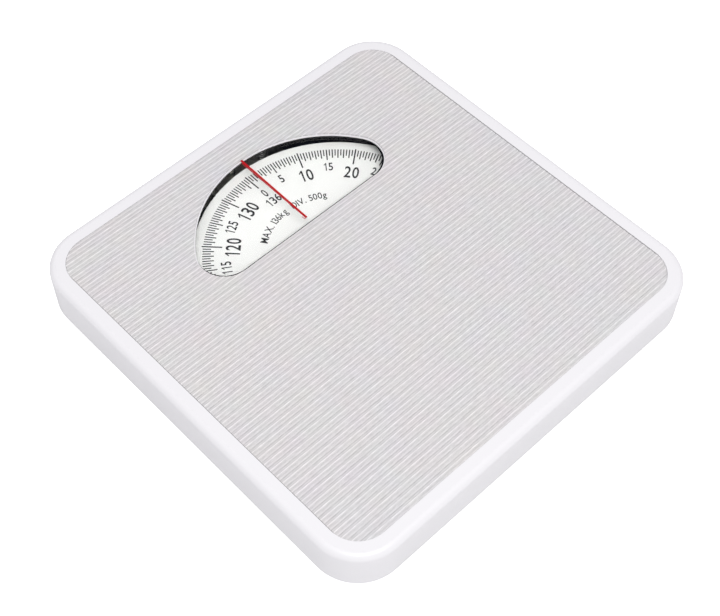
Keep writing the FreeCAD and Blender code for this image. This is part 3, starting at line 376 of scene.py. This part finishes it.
# Finishes by slot name. A finish with no colour here takes it from the user's colours.
USER_COLOURS = {"white_enamel": "enamel", "mat_vinyl": "mat", "pointer_red": "pointer", "dial_white": "dial",
                "ink_black": "ink"}
FINISHES = {
    "white_enamel": dict(tint=(0.82, 0.812, 0.84), roughness=0.30, drift_scale=7.0, grain_scale=60.0,
                         drift=0.6, spread=0.05, bump=0.02, coat=0.2),
    "mat_vinyl": dict(tint=(0.62, 0.62, 0.64), roughness=0.62, drift_scale=14.0, grain_scale=1500.0,
                      drift=1.0, spread=0.2, bump=0.55, bump_distance=0.12 * MM),
    # Black foam seal; where its lip shows along the window's chord it is a dark strip standing in for the gap's
    # shadow line, so it is partly painted shadow.
    "seal_foam": dict(colour=(0.004, 0.005, 0.007), tint=(0.009, 0.011, 0.018), roughness=0.9,
                      drift_scale=400.0, grain_scale=2500.0, bump=0.3, bump_distance=0.2 * MM, mirror=0.15),
    "pointer_red": dict(tint=(0.58, 0.008, 0.016), roughness=0.3, drift_scale=60.0, bump=0.04, coat=0.3),
    "dial_white": dict(tint=(0.82, 0.83, 0.82), roughness=0.38, drift_scale=10.0, grain_scale=600.0,
                       bump=0.03),
    "ink_black": dict(tint=(0.035, 0.035, 0.04), roughness=0.5, drift_scale=500.0, grain_scale=2500.0,
                      drift=0.8),
    "black_ecoat": dict(colour=(0.007, 0.009, 0.013), tint=(0.016, 0.020, 0.030), roughness=0.4,
                        drift_scale=25.0, grain_scale=500.0, spread=0.12, bump=0.04, mirror=0.15),
    "zinc_steel": dict(colour=(0.52, 0.52, 0.50), tint=(0.62, 0.60, 0.52), roughness=0.36, drift_scale=45.0,
                       grain_scale=700.0, drift=0.8, spread=0.25, bump=0.15, metallic=0.9),
    "spring_steel": dict(colour=(0.34, 0.34, 0.35), tint=(0.5, 0.48, 0.45), roughness=0.3, drift_scale=120.0,
                         grain_scale=1500.0, drift=0.8, spread=0.2, metallic=1.0),
    "brass": dict(colour=(0.62, 0.42, 0.14), tint=(0.74, 0.53, 0.22), roughness=0.3, drift_scale=80.0,
                  grain_scale=1500.0, spread=0.2, metallic=1.0),
    "rubber_foot": dict(colour=(0.018, 0.018, 0.019), tint=(0.04, 0.04, 0.042), roughness=0.75,
                        drift_scale=90.0, grain_scale=2200.0, spread=0.2, bump=0.3, bump_distance=0.2 * MM),
    "knob_black": dict(colour=(0.02, 0.02, 0.021), tint=(0.045, 0.045, 0.047), roughness=0.45,
                       drift_scale=70.0, grain_scale=2200.0, spread=0.15, bump=0.25),
    "nylon": dict(colour=(0.72, 0.69, 0.60), tint=(0.80, 0.78, 0.71), roughness=0.45, drift_scale=60.0,
                  grain_scale=1200.0),
    "floor_white": dict(colour=(0.80, 0.80, 0.81), tint=(0.82, 0.82, 0.82), roughness=0.6, drift_scale=2.0,
                        bump=0.02),
}


def shader_material(name):
    """New material with a plain Principled shader."""
    material = bpy.data.materials.new(name + FINISH)
    material.use_nodes = True
    return material, material.node_tree, material.node_tree.nodes["Principled BSDF"]


def mottled(name, colour, tint, roughness, drift_scale=12.0, grain_scale=900.0, drift=0.5, spread=0.1,
            bump=0.1, bump_distance=0.1 * MM, metallic=0.0, coat=0.0, mirror=0.5):
    """Material whose colour, roughness and bump come from the mottle group."""
    material, tree, shader = shader_material(name)
    effect = add_node(tree, "Group", {
        "Colour": (*colour, 1), "Tint": (*tint, 1), "Drift scale": drift_scale, "Grain scale": grain_scale,
        "Drift": drift, "Roughness": roughness, "Roughness spread": spread},
        node_tree=bpy.data.node_groups.get("mottle") or mottle_group())
    feed(tree, shader.inputs["Base Color"], effect.outputs["Colour"])
    feed(tree, shader.inputs["Roughness"], effect.outputs["Roughness"])
    bump_from(tree, shader, effect.outputs["Height"], bump, bump_distance)
    shader.inputs["Metallic"].default_value = metallic
    shader.inputs["Coat Weight"].default_value = coat
    shader.inputs["Specular IOR Level"].default_value = mirror
    return material


def add_ribs(material, pitch):
    """Paint the ribs' highlight and shade lines and the side edges' gap shadow over the mat's mottled vinyl."""
    tree = material.node_tree
    effect = next(n for n in tree.nodes if n.type == "GROUP")
    ribs = add_node(tree, "Group", {"Colour": effect.outputs["Colour"], "Ridge": RIDGE_HIGHLIGHT_GAIN, "Groove": GROOVE_SHADE_GAIN,
                                    "Streak": STREAK}, node_tree=rib_group(pitch))
    tree.links.new(ribs.outputs["Colour"], tree.nodes["Principled BSDF"].inputs["Base Color"])


def lens_material():
    """Clear moulded plastic that lets light through to the dial."""
    material, tree, shader = shader_material("lens_clear")
    shader.inputs["Base Color"].default_value = (1, 1, 1, 1)
    shader.inputs["Roughness"].default_value = LENS_ROUGHNESS
    shader.inputs["IOR"].default_value = LENS_IOR
    shader.inputs["Transmission Weight"].default_value = 1.0
    scale, strength, distance = LENS_WAVE
    bump_from(tree, shader, noise(tree, object_place(tree), scale)["Fac"], strength, distance)
    clear = add_node(tree, "BsdfTransparent", {})
    ray = add_node(tree, "LightPath", {})
    mix = add_node(tree, "MixShader", {0: ray.outputs["Is Shadow Ray"], 1: shader.outputs[0],
                                       2: clear.outputs[0]})
    tree.links.new(mix.outputs[0], tree.nodes["Material Output"].inputs["Surface"])
    return material


def finish(name):
    """A finish by its slot name, made when it is first asked for."""
    material = bpy.data.materials.get(name + FINISH)
    if material:
        return material
    if name == "lens_clear":
        return lens_material()
    recipe = dict(FINISHES[name])
    if name in USER_COLOURS:
        recipe["colour"] = getattr(bpy.context.scene.scale_colours, USER_COLOURS[name])
    material = mottled(name, **recipe)
    if name == "mat_vinyl":
        add_ribs(material, bpy.context.scene.scale_sizes.rib_pitch)
    return material


def dress(node, slot):
    """Give a frame part its better material."""
    for entry in NODES[node].material_slots:
        entry.material = finish(slot)


# ------------------------------------------------------------------ mat
MAT_OVERSIZE = 5 * MM
SPARE_RIBS = 6
MERGE_OUTLINE = 0.001 * MM
LEAST_FACES = 100
OUTLINE_HEIGHT = 4
FACING_DOWN = -0.9
# Share of one rib pitch, and height there in ridge heights above or groove depths below the sheet.
RIB_SECTION = ((0.00, 1.0), (0.055, 0.92), (0.10, 0.35), (0.14, 0.06), (0.30, 0.0), (0.355, -0.25), (0.395, -0.9),
               (0.435, -0.9), (0.475, -0.25), (0.53, 0.0), (0.60, 0.22), (0.68, 0.05), (0.86, 0.06), (0.90, 0.35),
               (0.945, 0.92))


def mat_outline():
    """Solid with the mat's exact outline and window hole, taller than the mat both ways."""
    source = copy_of(NODES["platform_mat"])
    source.parent = None
    for key in list(source.keys()):
        del source[key]
    source.name = "mat_outline"
    source.data.materials.clear()
    edit(source)
    bpy.ops.mesh.remove_doubles(threshold=MERGE_OUTLINE)
    floor = MAT_LOW.z + TINY
    select_faces(source, lambda centre, normal: normal.z < FACING_DOWN and centre.z < floor)
    bpy.ops.mesh.select_all(action="INVERT")
    bpy.ops.mesh.delete(type="FACE")
    bpy.ops.mesh.select_all(action="SELECT")
    extrude(0, 0, OUTLINE_HEIGHT * (MAT_HIGH.z - MAT_LOW.z))
    close_up()
    source.location.z = MAT_LOW.z - MAT_HIGH.z
    return source


def ribbed_sheet(sizes):
    """Closed slab with one rib section repeated along Y, larger than the mat."""
    pitch = sizes.rib_pitch
    level = MAT_HIGH.z - sizes.rib_height
    count = int((MAT_HIGH.y - MAT_LOW.y) / pitch) + SPARE_RIBS
    start = MAT_PHASE - math.ceil(count / 2) * pitch
    strip = plane((0, start + pitch / 2, level), (2 * (MAT_HIGH.x + MAT_OVERSIZE), pitch))
    bpy.ops.object.mode_set(mode="EDIT")
    for share, _ in RIB_SECTION[1:]:
        bpy.ops.mesh.select_all(action="SELECT")
        bpy.ops.mesh.bisect(plane_co=(0, start + share * pitch, level), plane_no=(0, 1, 0))
    bpy.ops.object.mode_set(mode="OBJECT")
    heights = [(start + share * pitch, value) for share, value in RIB_SECTION]
    heights.append((start + pitch, RIB_SECTION[0][1]))
    for vertex in strip.data.vertices:
        _, value = min(heights, key=lambda item: abs(item[0] - vertex.co.y))
        vertex.co.z += value * (sizes.rib_height if value > 0 else sizes.groove_depth)
    array = strip.modifiers.new("repeat", "ARRAY")
    array.count = count
    array.use_relative_offset = False
    array.use_constant_offset = True
    array.constant_offset_displace = (0, pitch, 0)
    array.use_merge_vertices = True
    array.merge_threshold = TINY
    apply_modifiers(strip)
    edit(strip)
    extrude(0, 0, MAT_LOW.z - level)
    bpy.ops.object.mode_set(mode="OBJECT")
    for vertex in strip.data.vertices:
        if vertex.select:
            vertex.co.z = MAT_LOW.z
    bpy.ops.object.mode_set(mode="EDIT")
    close_up()
    return strip


class SCALE_OT_mat(bpy.types.Operator):
    """Ribbed vinyl mat with its window cut-out"""

    bl_idname = "scale.mat"
    bl_label = "Ribbed mat"

    def execute(self, context):
        mat = ribbed_sheet(context.scene.scale_sizes)
        outline = mat_outline()
        cut = mat.modifiers.new("outline", "BOOLEAN")
        cut.operation = "INTERSECT"
        cut.solver = "EXACT"
        cut.object = outline
        apply_modifiers(mat)
        bpy.data.objects.remove(outline)
        if len(mat.data.polygons) < LEAST_FACES:
            raise RuntimeError("the mat's outline cut left nothing")
        mat.name = "mat"
        mat.data.name = "mat"
        finish_piece(mat, "mat_vinyl", 35)
        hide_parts("platform_mat")
        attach(mat, "platform")
        return {"FINISHED"}


# ------------------------------------------------------------------ dial, in millimetres and kilograms
# Kilograms between lines, outer radius, inner radius, line width.
MARK_KINDS = (
    (10.0, 78.1, 66.1, 0.86),
    (5.0, 77.3, 69.1, 0.75),
    (1.0, 77.3, 70.6, 0.72),
    (0.5, 77.3, 72.4, 0.68),
)
MARK_CORNER = 0.18
MARKS_PER_KILO = 2
BIG_STEP, SMALL_STEP = 10, 5
# Radius to the middle of the figures, their height, width of one figure.
TENS = (59.8, 8.7, 3.95)
FIVES = (63.8, 6.0, 2.65)
ZERO = (61.0, 6.1, 2.5)
FULL = (53.4, 5.9, 2.8)
LEGEND = (42.8, 4.7, 2.5)
LEGEND_WORDS = "MAX. 136kg  DIV. 500g"
LETTER_GAP = 0.42
DIGIT_GAP = 0.22
SPACE = 0.75
FIGURE_GAIN = 0.014
LETTER_GAIN = 0.009
# The figure one, in shares of its height or width.
ONE_WIDTH = 0.56
ONE_STROKE = 0.24
FLAG_HEIGHT = 0.85
FLAG_REACH = 0.26
FLAG_RISE = 0.24
FLAG_STROKE = 0.8
REST_TURN = -1.6


def on_dial(obj, radius, degrees):
    """Stand a flat shape, made at the origin with its top towards +Y, at a radius and angle on the dial."""
    turn = Matrix.Rotation(math.radians(-degrees), 4, "Z")
    obj.data.transform(turn @ Matrix.Translation((0, radius * MM, 0)))
    obj.data.transform(Matrix.Translation((DIAL_CENTRE.x, DIAL_CENTRE.y, DIAL_TOP)))
    obj.data.update()
    return obj


def mark(outer, inner, width, ink):
    """One printed division line with softened ends."""
    line = plane((0, 0, 0), (width * MM, (outer - inner) * MM))
    edit(line)
    bpy.ops.mesh.bevel(offset=MARK_CORNER * width * MM, segments=1, affect="VERTICES")
    bpy.ops.mesh.select_all(action="SELECT")
    extrude(0, 0, ink)
    close_up()
    return line


def raw_text(words, gain):
    """Raised lettering as a mesh, one unit high, standing on its baseline, its strokes widened by gain."""
    deselect()
    bpy.ops.object.text_add(location=(0, 0, 0))
    text = bpy.context.object
    text.data.body = words
    text.data.align_x = "CENTER"
    text.data.resolution_u = 4
    text.data.extrude = 0.5
    text.data.offset = gain
    bpy.ops.object.convert(target="MESH")
    return bpy.context.object


def corners(shape):
    """Lowest and highest corner of a mesh."""
    places = [v.co for v in shape.data.vertices]
    low = Vector([min(co[i] for co in places) for i in range(3)])
    high = Vector([max(co[i] for co in places) for i in range(3)])
    return low, high


def digit_one(height, width, stroke, ink):
    """Raised figure one: an upright stroke with a sloping flag, on its baseline and centred."""
    upright = plane(((width - stroke) / 2, height / 2, 0), (stroke, height))
    reach = math.hypot(width - stroke / 2, FLAG_REACH * height)
    slope = math.atan2(FLAG_RISE * height, width - stroke / 2)
    flag = plane((-stroke / 4, FLAG_HEIGHT * height, 0), (reach, FLAG_STROKE * stroke), slope)
    figure = join([upright, flag], "figure")
    edit(figure)
    extrude(0, 0, ink)
    close_up()
    return figure


def figures(words, style, degrees, ink):
    """Raised figures side by side, all of one height and width, at an angle on the dial."""
    radius, height, digit = style
    made = []
    for i, letter in enumerate(words):
        if letter == "1":
            shape = digit_one(height * MM, ONE_WIDTH * digit * MM, ONE_STROKE * digit * MM, ink)
        else:
            shape = raw_text(letter, FIGURE_GAIN)
            low, high = corners(shape)
            size = high - low
            middle = (low + high) / 2
            shape.data.transform(Matrix.Diagonal((digit * MM / size.x, height * MM / size.y, ink / size.z, 1))
                                 @ Matrix.Translation((-middle.x, -low.y, -low.z)))
        across = (i - (len(words) - 1) / 2) * (1 + DIGIT_GAP) * digit
        shape.data.transform(Matrix.Translation((across * MM, -height * MM / 2, 0)))
        made.append(shape)
    return on_dial(join(made, words), radius, degrees)


def arc_letters(words, style, ink):
    """Letters set one by one along an arc about the top, tops outward, all at one scale."""
    radius, height, digit = style
    figure = raw_text("0", LETTER_GAIN)
    low, high = corners(figure)
    tall = height * MM / (high.y - low.y)
    wide = digit * MM / (high.x - low.x)
    bpy.data.objects.remove(figure)
    made, places, reach = [], [], 0.0
    for letter in words:
        if letter == " ":
            reach += SPACE * digit
            continue
        shape = raw_text(letter, LETTER_GAIN)
        low, high = corners(shape)
        shape.data.transform(Matrix.Diagonal((wide, tall, ink / (high.z - low.z), 1))
                             @ Matrix.Translation((-(low.x + high.x) / 2, 0, -low.z)))
        width = (high.x - low.x) * wide / MM
        places.append(reach + width / 2)
        reach += width + LETTER_GAP
        made.append(shape)
    for shape, place in zip(made, places):
        on_dial(shape, radius - height / 2, math.degrees((place - reach / 2) / radius) + REST_TURN)
    return made


class SCALE_OT_dial(bpy.types.Operator):
    """Printed divisions and figures of the turning dial"""

    bl_idname = "scale.dial"
    bl_label = "Dial printing"

    def execute(self, context):
        sizes = context.scene.scale_sizes
        ink, capacity = sizes.ink, sizes.capacity
        per_kilo = 360.0 / capacity
        kinds = {step: mark(outer, inner, width, ink) for step, outer, inner, width in MARK_KINDS}
        radii = {step: (outer + inner) / 2 for step, outer, inner, _ in MARK_KINDS}
        made = []
        for i in range(MARKS_PER_KILO * capacity):
            kilos = i / MARKS_PER_KILO
            step = next(s for s, _, _, _ in MARK_KINDS if kilos % s == 0)
            made.append(on_dial(copy_of(kinds[step]), radii[step], kilos * per_kilo + REST_TURN))
        for line in kinds.values():
            bpy.data.objects.remove(line)
        numbers = [(kilos, TENS) for kilos in range(BIG_STEP, capacity, BIG_STEP)]
        numbers += [(kilos, FIVES) for kilos in range(SMALL_STEP, capacity - SMALL_STEP, BIG_STEP)]
        for kilos, style in numbers:
            made.append(figures(str(kilos), style, kilos * per_kilo + REST_TURN, ink))
        made.append(figures("0", ZERO, REST_TURN, ink))
        made.append(figures(str(capacity), FULL, REST_TURN, ink))
        made += arc_letters(LEGEND_WORDS, LEGEND, ink)
        printing = join(made, "dial_printing")
        finish_piece(printing, "ink_black", 0)
        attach(printing, "dial")
        dress("dial_disc", "dial_white")
        dress("dial_hub", "nylon")
        dress("dial_pinion", "brass")
        dress("dial_shaft", "spring_steel")
        dress("shaft_clip", "spring_steel")
        return {"FINISHED"}


# ------------------------------------------------------------------ window
HOOK_R = 0.60 * MM
HOOK_WIRE = 0.22 * MM
HOOK_LEG = 1.6 * MM
HOOK_LEFT = 0.5
HOOK_RAISE = 1.2
RING_SIDES = 8


class SCALE_OT_window(bpy.types.Operator):
    """Lens, seal and red pointer with its small end hook"""

    bl_idname = "scale.window"
    bl_label = "Window and pointer"

    def execute(self, context):
        dress("window_lens", "lens_clear")
        # The seal's black lip along the window's chord is partly painted shadow: a dark strip for the gap's
        # shadow line.
        dress("lens_seal", "seal_foam")
        dress("pointer", "pointer_red")
        low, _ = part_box("pointer")
        x, y, z = low.x - HOOK_LEFT * HOOK_R, low.y + HOOK_R, low.z + HOOK_RAISE * HOOK_WIRE
        deselect()
        bpy.ops.mesh.primitive_torus_add(location=(x, y, z), major_segments=24, minor_segments=RING_SIDES,
                                         major_radius=HOOK_R, minor_radius=HOOK_WIRE)
        hook = apply_place(bpy.context.object)
        edit(hook)
        bpy.ops.mesh.bisect(plane_co=(x, y, z), plane_no=(0, 1, 0), use_fill=True, clear_outer=True)
        select_faces(hook, lambda centre, normal: centre.y > y - TINY and centre.x < x)
        extrude(0, HOOK_LEG, 0)
        close_up()
        hook.name = "pointer_hook"
        finish_piece(hook, "pointer_red", 40)
        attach(hook, "platform")
        return {"FINISHED"}


# ------------------------------------------------------------------ springs
COIL_STEPS = 20
WIRE_SIDES = 10
WEIGHING_TURNS, HOLD_TURNS, RETURN_TURNS = 8, 12, 3
WEIGHING_END = 1.6 * MM
HOLD_RADIUS = 3.0 * MM
HOLD_END = 1.0 * MM
EYE_SHIFT = 0.4 * MM
EYE_SHARE = 0.55
EYE_WIRE = 0.8
HOLD_EYE_SHARE = 0.6
HOLD_WIRE = 0.7
RETURN_WIRE = 0.55
EYE_CUT = 0.45
EYE_CUT_SLOPE = 0.9


def coil(name, centre, radius, wire, low, high, turns):
    """Upright wire coil about a centre line."""
    deselect()
    bpy.ops.mesh.primitive_circle_add(vertices=WIRE_SIDES, radius=wire, location=(centre[0], centre[1], low),
                                      rotation=(math.pi / 2, 0, 0))
    wind = apply_place(bpy.context.object, location=False)
    edit(wind)
    bpy.ops.transform.translate(value=(radius - wire, 0, 0))
    bpy.ops.object.mode_set(mode="OBJECT")
    screw = wind.modifiers.new("wind", "SCREW")
    screw.axis = "Z"
    screw.angle = 2 * math.pi
    screw.screw_offset = (high - low) / turns
    screw.iterations = turns
    screw.steps = COIL_STEPS
    screw.render_steps = COIL_STEPS
    apply_modifiers(wind)
    edit(wind)
    bpy.ops.mesh.fill_holes(sides=0)
    close_up()
    apply_place(wind)
    wind.name = name
    return wind


def eye(centre, z, radius, wire):
    """Round end loop that hooks a coil to its tab."""
    deselect()
    bpy.ops.mesh.primitive_torus_add(location=(centre[0], centre[1], z), rotation=(0, math.pi / 2, 0),
                                     major_segments=28, minor_segments=RING_SIDES, major_radius=radius,
                                     minor_radius=wire)
    loop = apply_place(bpy.context.object)
    edit(loop)
    bpy.ops.mesh.bisect(plane_co=(centre[0], centre[1] + EYE_CUT * radius, z), plane_no=(0, 1, EYE_CUT_SLOPE),
                        use_fill=True, clear_outer=True)
    bpy.ops.object.mode_set(mode="OBJECT")
    return loop


class SCALE_OT_springs(bpy.types.Operator):
    """Wire springs: weighing, hold-down and crank return"""

    bl_idname = "scale.springs"
    bl_label = "Springs"

    def execute(self, context):
        wire = context.scene.scale_sizes.wire
        for side in ("left", "right"):
            self.weighing("weighing_spring_" + side, "main_spring_" + side, wire)
        self.hold_down(HOLD_WIRE * wire)
        self.crank_return(RETURN_WIRE * wire)
        return {"FINISHED"}

    def weighing(self, name, node, wire):
        """Coil with an eye at each end, from the frame to the weighing plate."""
        low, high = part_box(node)
        middle = (low + high) / 2
        radius = (high.x - low.x) / 2
        body = coil(name, middle, radius, wire, low.z + WEIGHING_END, high.z - WEIGHING_END, WEIGHING_TURNS)
        eyes = [eye(middle, z, EYE_SHARE * radius, EYE_WIRE * wire)
                for z in (low.z + EYE_SHIFT, high.z - EYE_SHIFT)]
        spring = join([body, *eyes], name)
        finish_piece(spring, "spring_steel", 40)
        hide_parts(node)
        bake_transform(spring)

    def hold_down(self, wire):
        """Four long springs between the tray's tabs and the cover's."""
        low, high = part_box("hold_down_springs")
        parts = []
        for x in (low.x + HOLD_RADIUS, high.x - HOLD_RADIUS):
            for y in (low.y + HOLD_RADIUS, high.y - HOLD_RADIUS):
                parts.append(coil("hold", (x, y), HOLD_RADIUS, wire, low.z + HOLD_END, high.z - HOLD_END,
                                  HOLD_TURNS))
                parts += [eye((x, y), z, HOLD_EYE_SHARE * HOLD_RADIUS, wire)
                          for z in (low.z - EYE_SHIFT, high.z + EYE_SHIFT)]
        springs = join(parts, "hold_down_coils")
        finish_piece(springs, "spring_steel", 40)
        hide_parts("hold_down_springs")
        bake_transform(springs)

    def crank_return(self, wire):
        """Small coil round the bell crank's hub."""
        low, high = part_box("crank_return_spring")
        half = (high.x - low.x) / 2
        spring = coil("crank_return_coil", (0, 0), (high.z - low.z) / 2, wire, -half + wire, half - wire,
                      RETURN_TURNS)
        spring.rotation_euler = (0, math.pi / 2, 0)
        spring.location = (low + high) / 2
        apply_place(spring)
        finish_piece(spring, "spring_steel", 40)
        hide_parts("crank_return_spring")
        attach(spring, "base")


# ------------------------------------------------------------------ cover, base and mechanism
class SCALE_OT_cover(bpy.types.Operator):
    """White enamel of the pressed cover"""

    bl_idname = "scale.cover"
    bl_label = "Cover"

    def execute(self, context):
        dress("platform_cover", "white_enamel")
        return {"FINISHED"}


class SCALE_OT_base(bpy.types.Operator):
    """Tray, feet, zero knob and their finishes"""

    bl_idname = "scale.base"
    bl_label = "Base"

    def execute(self, context):
        dress("base_tray", "black_ecoat")
        dress("zero_knob", "knob_black")
        for node in NODES:
            if node.startswith("foot_"):
                dress(node, "rubber_foot")
        return {"FINISHED"}


MECHANISM = {
    "zinc_steel": ("fulcrum_bracket", "load_post", "long_lever_left", "long_lever_right", "short_lever_left",
                   "short_lever_right", "bracket_rivets", "crank_bracket", "dial_bridge", "spring_frame",
                   "spring_carrier", "calibration_plate", "zero_screw"),
    "spring_steel": ("long_lever_pins", "short_lever_pins", "crank_pivot_pin", "crank_drive_pin"),
    "nylon": ("bell_crank", "rack", "dial_bush"),
    "brass": ("screw_bush",),
}


class SCALE_OT_mechanism(bpy.types.Operator):
    """Levers, brackets and gear train finishes"""

    bl_idname = "scale.mechanism"
    bl_label = "Mechanism"

    def execute(self, context):
        for slot, names in MECHANISM.items():
            for node in NODES:
                if node.startswith(names):
                    dress(node, slot)
        return {"FINISHED"}


# ------------------------------------------------------------------ stage
FLOOR_SIZE = 6.0
FLOOR_LEVEL = -0.1 * MM
FLOOR_GLOW = 1.0
ROOM_LIGHT = 0.70
ROOM_COLOUR = (0.985, 0.975, 1.0, 1)
MIRRORED_LIGHT = 0.05
MIRRORED_COLOUR = (0.35, 0.45, 0.7, 1)
WHITE = (1, 1, 1, 1)
KEY_PLACE = (-0.309, -0.662, 1.808)
KEY_SIZE = 1.1
KEY_POWER = 19.8
KEY_COLOUR = (1.0, 0.995, 0.975)
CAMERA_AZIMUTH = -43.9085
CAMERA_ELEVATION = 55.3995
CAMERA_ROLL = 0.42
CAMERA_TARGET = (-22.4 * MM, -18.59 * MM, 45.0 * MM)
CAMERA_DISTANCE = 772.7 * MM
CAMERA_LENS = 70.35
CAMERA_SENSOR = 36.0
CAMERA_NEAR = 0.01
CAMERA_FAR = 50.0


def camera():
    """Camera above the front left corner, looking down at the scale."""
    a, e, r = (math.radians(x) for x in (CAMERA_AZIMUTH, CAMERA_ELEVATION, CAMERA_ROLL))
    back = Vector((math.sin(a) * math.cos(e), -math.cos(a) * math.cos(e), math.sin(e)))
    right = Vector((0, 0, 1)).cross(back).normalized()
    up = back.cross(right)
    turned_right = math.cos(r) * right + math.sin(r) * up
    turned_up = -math.sin(r) * right + math.cos(r) * up
    data = bpy.data.cameras.new("camera")
    data.lens = CAMERA_LENS
    data.sensor_width = CAMERA_SENSOR
    data.clip_start = CAMERA_NEAR
    data.clip_end = CAMERA_FAR
    obj = bpy.data.objects.new("camera", data)
    obj.matrix_world = Matrix.Translation(Vector(CAMERA_TARGET) + back * CAMERA_DISTANCE) @ Matrix(
        (turned_right, turned_up, back)).transposed().to_4x4()
    bpy.context.scene.collection.objects.link(obj)
    bpy.context.scene.camera = obj


def key_light():
    """Large square light over the front left, aimed at the scale."""
    data = bpy.data.lights.new("key", "AREA")
    data.shape = "SQUARE"
    data.size = KEY_SIZE
    data.energy = KEY_POWER
    data.color = KEY_COLOUR
    obj = bpy.data.objects.new("key", data)
    obj.location = KEY_PLACE
    obj.rotation_mode = "QUATERNION"
    obj.rotation_quaternion = Vector(KEY_PLACE).to_track_quat("Z", "Y")
    bpy.context.scene.collection.objects.link(obj)


def studio():
    """Bright even room, dark where a polished surface mirrors it straight to the eye."""
    world = bpy.data.worlds.new("studio")
    world.use_nodes = True
    tree = world.node_tree
    room = tree.nodes["Background"]
    room.inputs["Color"].default_value = ROOM_COLOUR
    room.inputs["Strength"].default_value = ROOM_LIGHT
    dark = add_node(tree, "Background", {"Color": MIRRORED_COLOUR, "Strength": MIRRORED_LIGHT})
    backdrop = add_node(tree, "Background", {"Color": WHITE})
    ray = add_node(tree, "LightPath", {}).outputs
    straight = math_node(tree, "LESS_THAN", ray["Diffuse Depth"], 0.5)
    mirrored = math_node(tree, "MULTIPLY", ray["Is Glossy Ray"], straight)
    lit = add_node(tree, "MixShader", {0: mirrored, 1: room.outputs[0], 2: dark.outputs[0]})
    seen = add_node(tree, "MixShader", {0: ray["Is Camera Ray"], 1: lit.outputs[0], 2: backdrop.outputs[0]})
    tree.links.new(seen.outputs[0], tree.nodes["World Output"].inputs["Surface"])
    return world


def floor_finish():
    """White paper floor, evenly bright to the eye and open from below."""
    paper = finish("floor_white")
    tree = paper.node_tree
    shader = tree.nodes["Principled BSDF"]
    shader.inputs["Emission Color"].default_value = WHITE
    ray = add_node(tree, "LightPath", {}).outputs
    feed(tree, shader.inputs["Emission Strength"], math_node(tree, "MULTIPLY", ray["Is Camera Ray"], FLOOR_GLOW))
    side = add_node(tree, "NewGeometry", {}).outputs["Backfacing"]
    clear = add_node(tree, "BsdfTransparent", {})
    one_sided = add_node(tree, "MixShader", {0: side, 1: shader.outputs[0], 2: clear.outputs[0]})
    tree.links.new(one_sided.outputs[0], tree.nodes["Material Output"].inputs["Surface"])
    return paper


class SCALE_OT_stage(bpy.types.Operator):
    """Pale floor, soft studio light and camera"""

    bl_idname = "scale.stage"
    bl_label = "Stage"

    def execute(self, context):
        deselect()
        bpy.ops.mesh.primitive_plane_add(size=FLOOR_SIZE, location=(0, 0, FLOOR_LEVEL))
        floor = bpy.context.object
        floor.name = "floor"
        floor.data.materials.append(floor_finish())
        context.scene.world = studio()
        context.scene.view_settings.view_transform = "Standard"
        key_light()
        camera()
        return {"FINISHED"}


# ------------------------------------------------------------------ panel and registration
STEPS = (SCALE_OT_cover, SCALE_OT_mat, SCALE_OT_window, SCALE_OT_dial, SCALE_OT_springs, SCALE_OT_base,
         SCALE_OT_mechanism, SCALE_OT_stage)


class SCALE_PT_panel(bpy.types.Panel):
    """Sidebar panel that lists the steps"""

    bl_label = "Dial Bathroom Scale"
    bl_idname = "SCALE_PT_panel"
    bl_space_type = "VIEW_3D"
    bl_region_type = "UI"
    bl_category = "Scale"

    def draw(self, context):
        for step in STEPS:
            self.layout.operator(step.bl_idname)
        for group in (context.scene.scale_sizes, context.scene.scale_colours):
            for key in group.bl_rna.properties.keys():
                if key not in ("rna_type", "name"):
                    self.layout.prop(group, key)


CLASSES = (ScaleSizes, ScaleColours, *STEPS, SCALE_PT_panel)


def register():
    for item in CLASSES:
        bpy.utils.register_class(item)
    bpy.types.Scene.scale_sizes = bpy.props.PointerProperty(type=ScaleSizes)
    bpy.types.Scene.scale_colours = bpy.props.PointerProperty(type=ScaleColours)


def unregister():
    del bpy.types.Scene.scale_colours
    del bpy.types.Scene.scale_sizes
    for item in reversed(CLASSES):
        bpy.utils.unregister_class(item)


def main():
    register()
    for step in STEPS:
        area, name = step.bl_idname.split(".")
        getattr(getattr(bpy.ops, area), name)()


if __name__ == "__main__":
    main()
